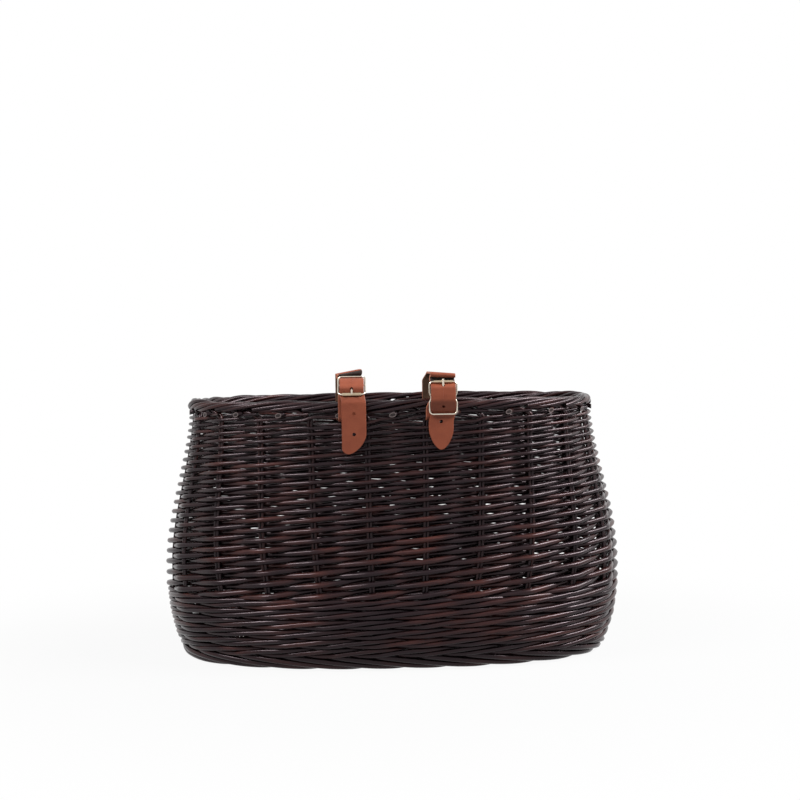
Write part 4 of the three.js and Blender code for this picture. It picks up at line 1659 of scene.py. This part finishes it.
    def bend(self, mesh: bpy.types.Mesh, line: np.ndarray) -> np.ndarray:
        """Bends a flat length of strap along its line, and keeps the flat places as its UV map.

        Args:
            mesh: The flat mesh.
            line: The strap's middle line in Y and Z.

        Returns:
            The bent places of its vertices, one row each.
        """
        flat = np.empty(3 * len(mesh.vertices))
        mesh.vertices.foreach_get("co", flat)
        flat = flat.reshape(-1, 3)
        layer = mesh.uv_layers.new(name=UV_NAME)
        corners = np.empty(len(mesh.loops), dtype=int)
        mesh.loops.foreach_get("vertex_index", corners)
        layer.data.foreach_set("uv", flat[corners, :2].ravel())
        lengths = lengths_along(line)
        way = unit_rows(np.gradient(line, lengths, axis=0))
        y, z = (np.interp(flat[:, 1], lengths, line[:, i]) for i in (0, 1))
        dy, dz = (np.interp(flat[:, 1], lengths, way[:, i]) for i in (0, 1))
        return np.stack([flat[:, 0], y + dz * flat[:, 2], z - dy * flat[:, 2]], axis=1)

    def settle(self, mesh: bpy.types.Mesh, places: np.ndarray, shift: np.ndarray) -> None:
        """Puts bent leather in place, each point shifted along the rim."""
        places[:, 0] += self.middle + shift
        mesh.vertices.foreach_set("co", places.ravel())
        mesh.update()

    @staticmethod
    def thinned(line: np.ndarray) -> np.ndarray:
        """Drops the points of a line that repeat the one before."""
        return line[np.concatenate([[True], np.diff(lengths_along(line)) > MM / 1000])]

    @staticmethod
    def length_at(line: np.ndarray, place: Vector) -> float:
        """Gives how far along a line its nearest point to a place is."""
        nearest = np.linalg.norm(line - np.array(place), axis=1).argmin()
        return float(lengths_along(line)[nearest])

    def build_back(self) -> None:
        """Builds the part of the strap that is hooked in the buckle and goes round behind the rim."""
        name = self.named("leather_back")
        line = self.thinned(self.back_line())
        lengths = lengths_along(line)
        mesh = self.blank(name, float(lengths[-1]))
        self.neck(mesh)
        highest = int(line[:, 1].argmax())
        fold = float(lengths[highest + int((np.diff(line[highest:, 0]) > 0).argmax())])
        # Painted shade: grain faces past the fold and the lip take the near-black finish, in place of the
        # shade in the recess over the top bar.
        for face in mesh.polygons:
            on_grain = face.material_index == LEATHERS.index(GRAIN_SIDE)
            if on_grain and face.center.y > fold + self.fit.lip:
                face.material_index = LEATHERS.index(PAINTED_SHADE_FOLD)
        places = self.bend(mesh, line)
        top_bar = self.at(self.reach, 0)
        raised = smooth_step((places[:, 2] - top_bar.y) / (self.loop_top - top_bar.y))
        places[:, 2] += self.fit.tilt * places[:, 0] * raised
        share = np.clip((places[:, 1] - top_bar.x) / (self.back_leg - top_bar.x), 0, 1)
        lowered = smooth_step((self.bar.y - places[:, 2]) / self.leg_drop)
        back = self.fit.back_shift * share * (1 - self.fit.loop_ease * raised)
        self.settle(mesh, places, back + self.fit.fixed_shift * (1 - share) * lowered)
        piece = self.shop.deliver(name, mesh, LEATHERS, Slot.LEATHER)
        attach(piece, self.named("strap"))
        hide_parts(self.named("strap"))

    def build_front(self) -> None:
        """Builds the part of the strap that comes down through the buckle to its loose tip."""
        name = self.named("leather_front")
        line = self.thinned(self.front_line())
        lengths = lengths_along(line)
        total = float(lengths[-1])
        pin_up, pin_out = self.pin_place
        pin_hole = self.length_at(line, self.at(self.fit.prong_way * pin_up, pin_out))
        over_bar = self.length_at(line, self.at(0, self.over))
        holes = [pin_hole]
        for z in self.fit.holes:
            last = max(i for i in range(len(line) - 1) if line[i, 1] >= z > line[i + 1, 1])
            holes.append(float(np.interp(-z, -line[last:, 1], lengths[last:])))
        mesh = self.blank(name, total)
        self.point(mesh, total)
        mesh = self.punch(mesh, holes, (min(pin_hole, over_bar), max(pin_hole, over_bar)))
        places = self.bend(mesh, line)
        low_bar = self.at(-self.reach, 0)
        swing_start, swing_run = self.tail_swing
        lowered = smooth_step((low_bar.y + swing_start - places[:, 2]) / swing_run)
        self.settle(mesh, places, self.fit.tail_shift * lowered)
        piece = self.shop.deliver(name, mesh, LEATHERS, Slot.LEATHER)
        self.named("strap")
        self.named("tail")
        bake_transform(piece)
        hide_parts(self.named("strap_tail"))

    def build(self) -> None:
        """Builds both pieces of the strap."""
        self.build_back()
        self.build_front()


@dataclass
class Buckle(StrapWork):
    """One double buckle of bent wire with its prong.

    The shoulder and the waist are a place along the buckle and the radius of the bend there.
    """

    roller: float = 2.8 * MM
    prong: float = 2.4 * MM
    side_gap: float = 0.3 * MM
    corner_bend: float = 3.2 * MM
    shoulder: Span = (4 * MM, 3 * MM)
    waist: Span = (1.2 * MM, 1.6 * MM)
    bar_share: float = 0.95
    roller_inset: float = 3.5 * MM
    bar_points: int = 6
    wire_sides: int = 14
    roller_sides: int = 16
    prong_sides: int = 12
    prong_steps: int = 3
    eye_gap: float = 0.15 * MM
    eye_degrees: range = range(350, 89, -13)
    pin_bow: float = 0.55
    pin_press: float = 0.9
    pin_flat: float = 1 * MM
    pin_past: float = 0.9 * MM
    pin_dip: float = 0.2 * MM
    pin_thin: float = 0.84
    pin_taper: float = 6 * MM

    def in_space(self, x: float, u: float, n: float) -> Vector:
        """Gives a point in space from a place in the buckle's axes."""
        p = self.at(u, n)
        return Vector((self.middle + x, p.x, p.y))

    def wire_line(self, places: list[tuple[float, float, float]]) -> np.ndarray:
        """Gives the middle line of a wire from places across, up and out of the buckle."""
        return np.array([tuple(self.in_space(x, u, n)) for x, u, n in places])

    def bar_line(self, half: float, u: float) -> np.ndarray:
        """Gives the middle line of a bar across the buckle, from half its length and its height."""
        return self.wire_line([(x, u, 0.0) for x in np.linspace(-half, half, self.bar_points)])

    def build_frame(self) -> None:
        """Builds the buckle: a bent wire frame, drawn in at the waist, its middle bar and a roller."""
        wide = self.fit.width / 2 + self.side_gap + self.wire / 2
        narrow = wide - self.fit.pinch
        shoulder, shoulder_bend = self.shoulder
        waist, waist_bend = self.waist
        quarter = [
            (Vector((wide, self.reach)), self.corner_bend),
            (Vector((wide, shoulder)), shoulder_bend),
            (Vector((narrow, waist)), waist_bend),
        ]
        corners = list(quarter)
        corners += [(Vector((p.x, -p.y)), r) for p, r in reversed(quarter)]
        corners += [(Vector((-p.x, -p.y)), r) for p, r in quarter]
        corners += [(Vector((-p.x, p.y)), r) for p, r in reversed(quarter)]
        frame = self.wire_line([(x, u, 0.0) for x, u in rounded(corners, closed=True)])
        out = (0.0, self.out.x, self.out.y)
        rods = RodMesh()
        rods.lay(frame, self.wire / 2, self.wire_sides, out, closed=True)
        rods.lay(self.bar_line(narrow, 0.0), self.wire / 2 * self.bar_share, self.wire_sides, out)
        sleeve = self.bar_line(wide - self.roller_inset, self.fit.prong_way * self.reach)
        rods.lay(sleeve, self.roller / 2, self.roller_sides, out, index=WIRES.index(ROLLER))
        self.metal("wire_buckle", rods, "strap", "buckle")

    def build_prong(self) -> None:
        """Builds the prong: an eye round the middle bar and a pin that lies on the roller."""
        radius = self.prong / 2
        eye = self.wire / 2 + radius + self.eye_gap
        rest = self.roller / 2 + radius * self.pin_press
        places = []
        for degrees in self.eye_degrees:
            a = math.radians(degrees)
            places.append((eye * math.cos(a), eye * math.sin(a)))
        places.append((self.reach * self.pin_bow, (eye + rest) / 2))
        places.append((self.reach - self.pin_flat, rest))
        places.append((self.reach + self.roller / 2 + self.pin_past, rest - self.pin_dip))
        line = self.wire_line([(0.0, self.fit.prong_way * u, n) for u, n in places])
        path = spline(line, self.prong_steps)
        far = np.linalg.norm(path - path[-1], axis=1)
        radii = radius * (self.pin_thin + (1 - self.pin_thin) * smooth_step(far / self.pin_taper))
        rods = RodMesh()
        rods.lay(path, radii, self.prong_sides, ACROSS)
        self.metal("wire_prong", rods, "prong", "prong")

    def metal(self, name: str, rods: RodMesh, body: str, node: str) -> None:
        """Delivers a piece of wire; all the names are without the side's.

        Args:
            name: The piece's name.
            rods: Its wire.
            body: The body that it rides on.
            node: The node that it stands for.
        """
        name = self.named(name)
        piece = self.shop.deliver(name, rods.finish(name), WIRES, Slot.NICKEL)
        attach(piece, self.named(body))
        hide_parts(self.named(node))

    def build(self) -> None:
        """Builds the frame and the prong."""
        self.build_frame()
        self.build_prong()


@dataclass(frozen=True)
class Lamp:
    """A soft lamp: where it hangs, in degrees to the right of the front and up, and its watts."""

    name: str
    azimuth: float
    elevation: float
    power: float


LAMPS = (
    Lamp("left_softbox", azimuth=-56, elevation=42, power=26.0),
    Lamp("right_softbox", azimuth=70, elevation=42, power=38.0),
    Lamp("right_rear_softbox", azimuth=96, elevation=30, power=14.0),
)


@dataclass
class Studio:
    """Camera at the photograph's place, soft lamps and a white floor."""

    distance: float = 1507 * MM
    eye_height: float = 285.1 * MM
    focal_pixels: float = 1638.7
    image_pixels: float = 800
    sensor: float = 36.0
    farthest: float = 50.0
    yaw: float = 0.02
    swing: float = 0.0059
    pitch: float = 0.0371
    roll: float = 0.015
    lamp_distance: float = 1.6
    lamp_aim: float = 120 * MM
    lamp_size: Span = (0.8, 0.3)
    ambient: float = 0.05
    floor_size: float = 4.0
    floor_color: Color = (0.32, 0.32, 0.32, 1)
    floor_roughness: float = 0.9
    floor_glow: float = 0.93
    shadow_reach: Span = (0.24, 0.6)

    def camera(self) -> None:
        """Places the camera."""
        data = bpy.data.cameras.new("camera")
        data.sensor_width = self.sensor
        data.lens = self.focal_pixels / self.image_pixels * self.sensor
        data.clip_end = self.farthest
        camera = in_scene("camera", data)
        x = -math.sin(self.yaw) * self.distance
        y = -math.cos(self.yaw) * self.distance
        place = Matrix.Translation((x, y, self.eye_height))
        heading = Matrix.Rotation(-(self.yaw + self.swing), 4, "Z")
        tilt = Matrix.Rotation(math.pi / 2 - self.pitch, 4, "X")
        camera.matrix_world = place @ heading @ tilt @ Matrix.Rotation(-self.roll, 4, "Z")
        bpy.context.scene.camera = camera

    def hang(self, lamp: Lamp) -> None:
        """Hangs a soft lamp that faces the basket."""
        data = bpy.data.lights.new(lamp.name, "AREA")
        data.shape = "RECTANGLE"
        data.size, data.size_y = self.lamp_size
        data.energy = lamp.power
        across = math.radians(lamp.azimuth)
        high = math.radians(lamp.elevation)
        level = math.cos(high)
        way = Vector((math.sin(across) * level, -math.cos(across) * level, math.sin(high)))
        softbox = in_scene(lamp.name, data)
        softbox.location = way * self.lamp_distance + Vector((0, 0, self.lamp_aim))
        softbox.rotation_euler = way.to_track_quat("Z", "Y").to_euler()

    @staticmethod
    def seen(tree: bpy.types.NodeTree) -> Socket:
        """Gives 1 where a surface is seen, straight or in a reflection, and 0 where it only lights."""
        path = tree.nodes.new("ShaderNodeLightPath").outputs
        mirrored = reckon(tree, "MAXIMUM", path["Is Glossy Ray"], path["Is Transmission Ray"])
        return reckon(tree, "MAXIMUM", path["Is Camera Ray"], mirrored)

    def world(self) -> None:
        """Makes the world white where it is seen, and dimmer where it only lights."""
        world = bpy.data.worlds.new("studio")
        world.use_nodes = True
        bpy.context.scene.world = world
        tree = world.node_tree
        background = tree.nodes["Background"]
        background.inputs["Color"].default_value = (1, 1, 1, 1)
        strength = remap(tree, self.seen(tree), WHOLE, (self.ambient, 1.0))
        tree.links.new(strength, background.inputs["Strength"])

    def floor(self) -> None:
        """Makes the floor, which is white where it is seen and keeps the basket's shadow."""
        bm = bmesh.new()
        bmesh.ops.create_grid(bm, x_segments=1, y_segments=1, size=self.floor_size)
        mesh = as_mesh(bm, "floor")
        material = bpy.data.materials.new("floor")
        material.use_nodes = True
        tree = material.node_tree
        shader = tree.nodes["Principled BSDF"]
        shader.inputs["Base Color"].default_value = self.floor_color
        shader.inputs["Roughness"].default_value = self.floor_roughness
        glow = tree.nodes.new("ShaderNodeEmission")
        blend = tree.nodes.new("ShaderNodeMixShader")
        place = tree.nodes.new("ShaderNodeTexCoord")
        far = tree.nodes.new("ShaderNodeVectorMath")
        far.operation = "LENGTH"
        tree.links.new(place.outputs["Object"], far.inputs[0])
        white = remap(tree, far.outputs["Value"], self.shadow_reach, (self.floor_glow, 1.0))
        tree.links.new(reckon(tree, "MULTIPLY", self.seen(tree), white), blend.inputs["Fac"])
        tree.links.new(shader.outputs["BSDF"], blend.inputs[1])
        tree.links.new(glow.outputs["Emission"], blend.inputs[2])
        tree.links.new(blend.outputs["Shader"], tree.nodes["Material Output"].inputs["Surface"])
        mesh.materials.append(material)
        floor = in_scene("floor", mesh)

    def build(self) -> None:
        """Sets up the whole studio."""
        bpy.context.scene.view_settings.view_transform = "Standard"
        self.camera()
        self.world()
        self.floor()
        for lamp in LAMPS:
            self.hang(lamp)


def main() -> None:
    """Builds the basket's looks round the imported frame."""
    logging.basicConfig(level=logging.INFO, format="%(message)s")
    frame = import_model()
    joints = {joint["name"]: joint for joint in frame["joints"]}
    Studio().build()
    shop = Workshop()
    wall = Wall()
    straps = [Leather(side, shop, joints) for side in Side]
    for work in (Stakes, Wale, FootBorder, Base, RimEnds):
        work(wall, shop).build()
    SideWeave(wall, shop, slots=[strap.slot() for strap in straps]).build()
    for strap in straps:
        strap.build()
        Buckle(strap.side, shop, joints).build()


if __name__ == "__main__":
    main()
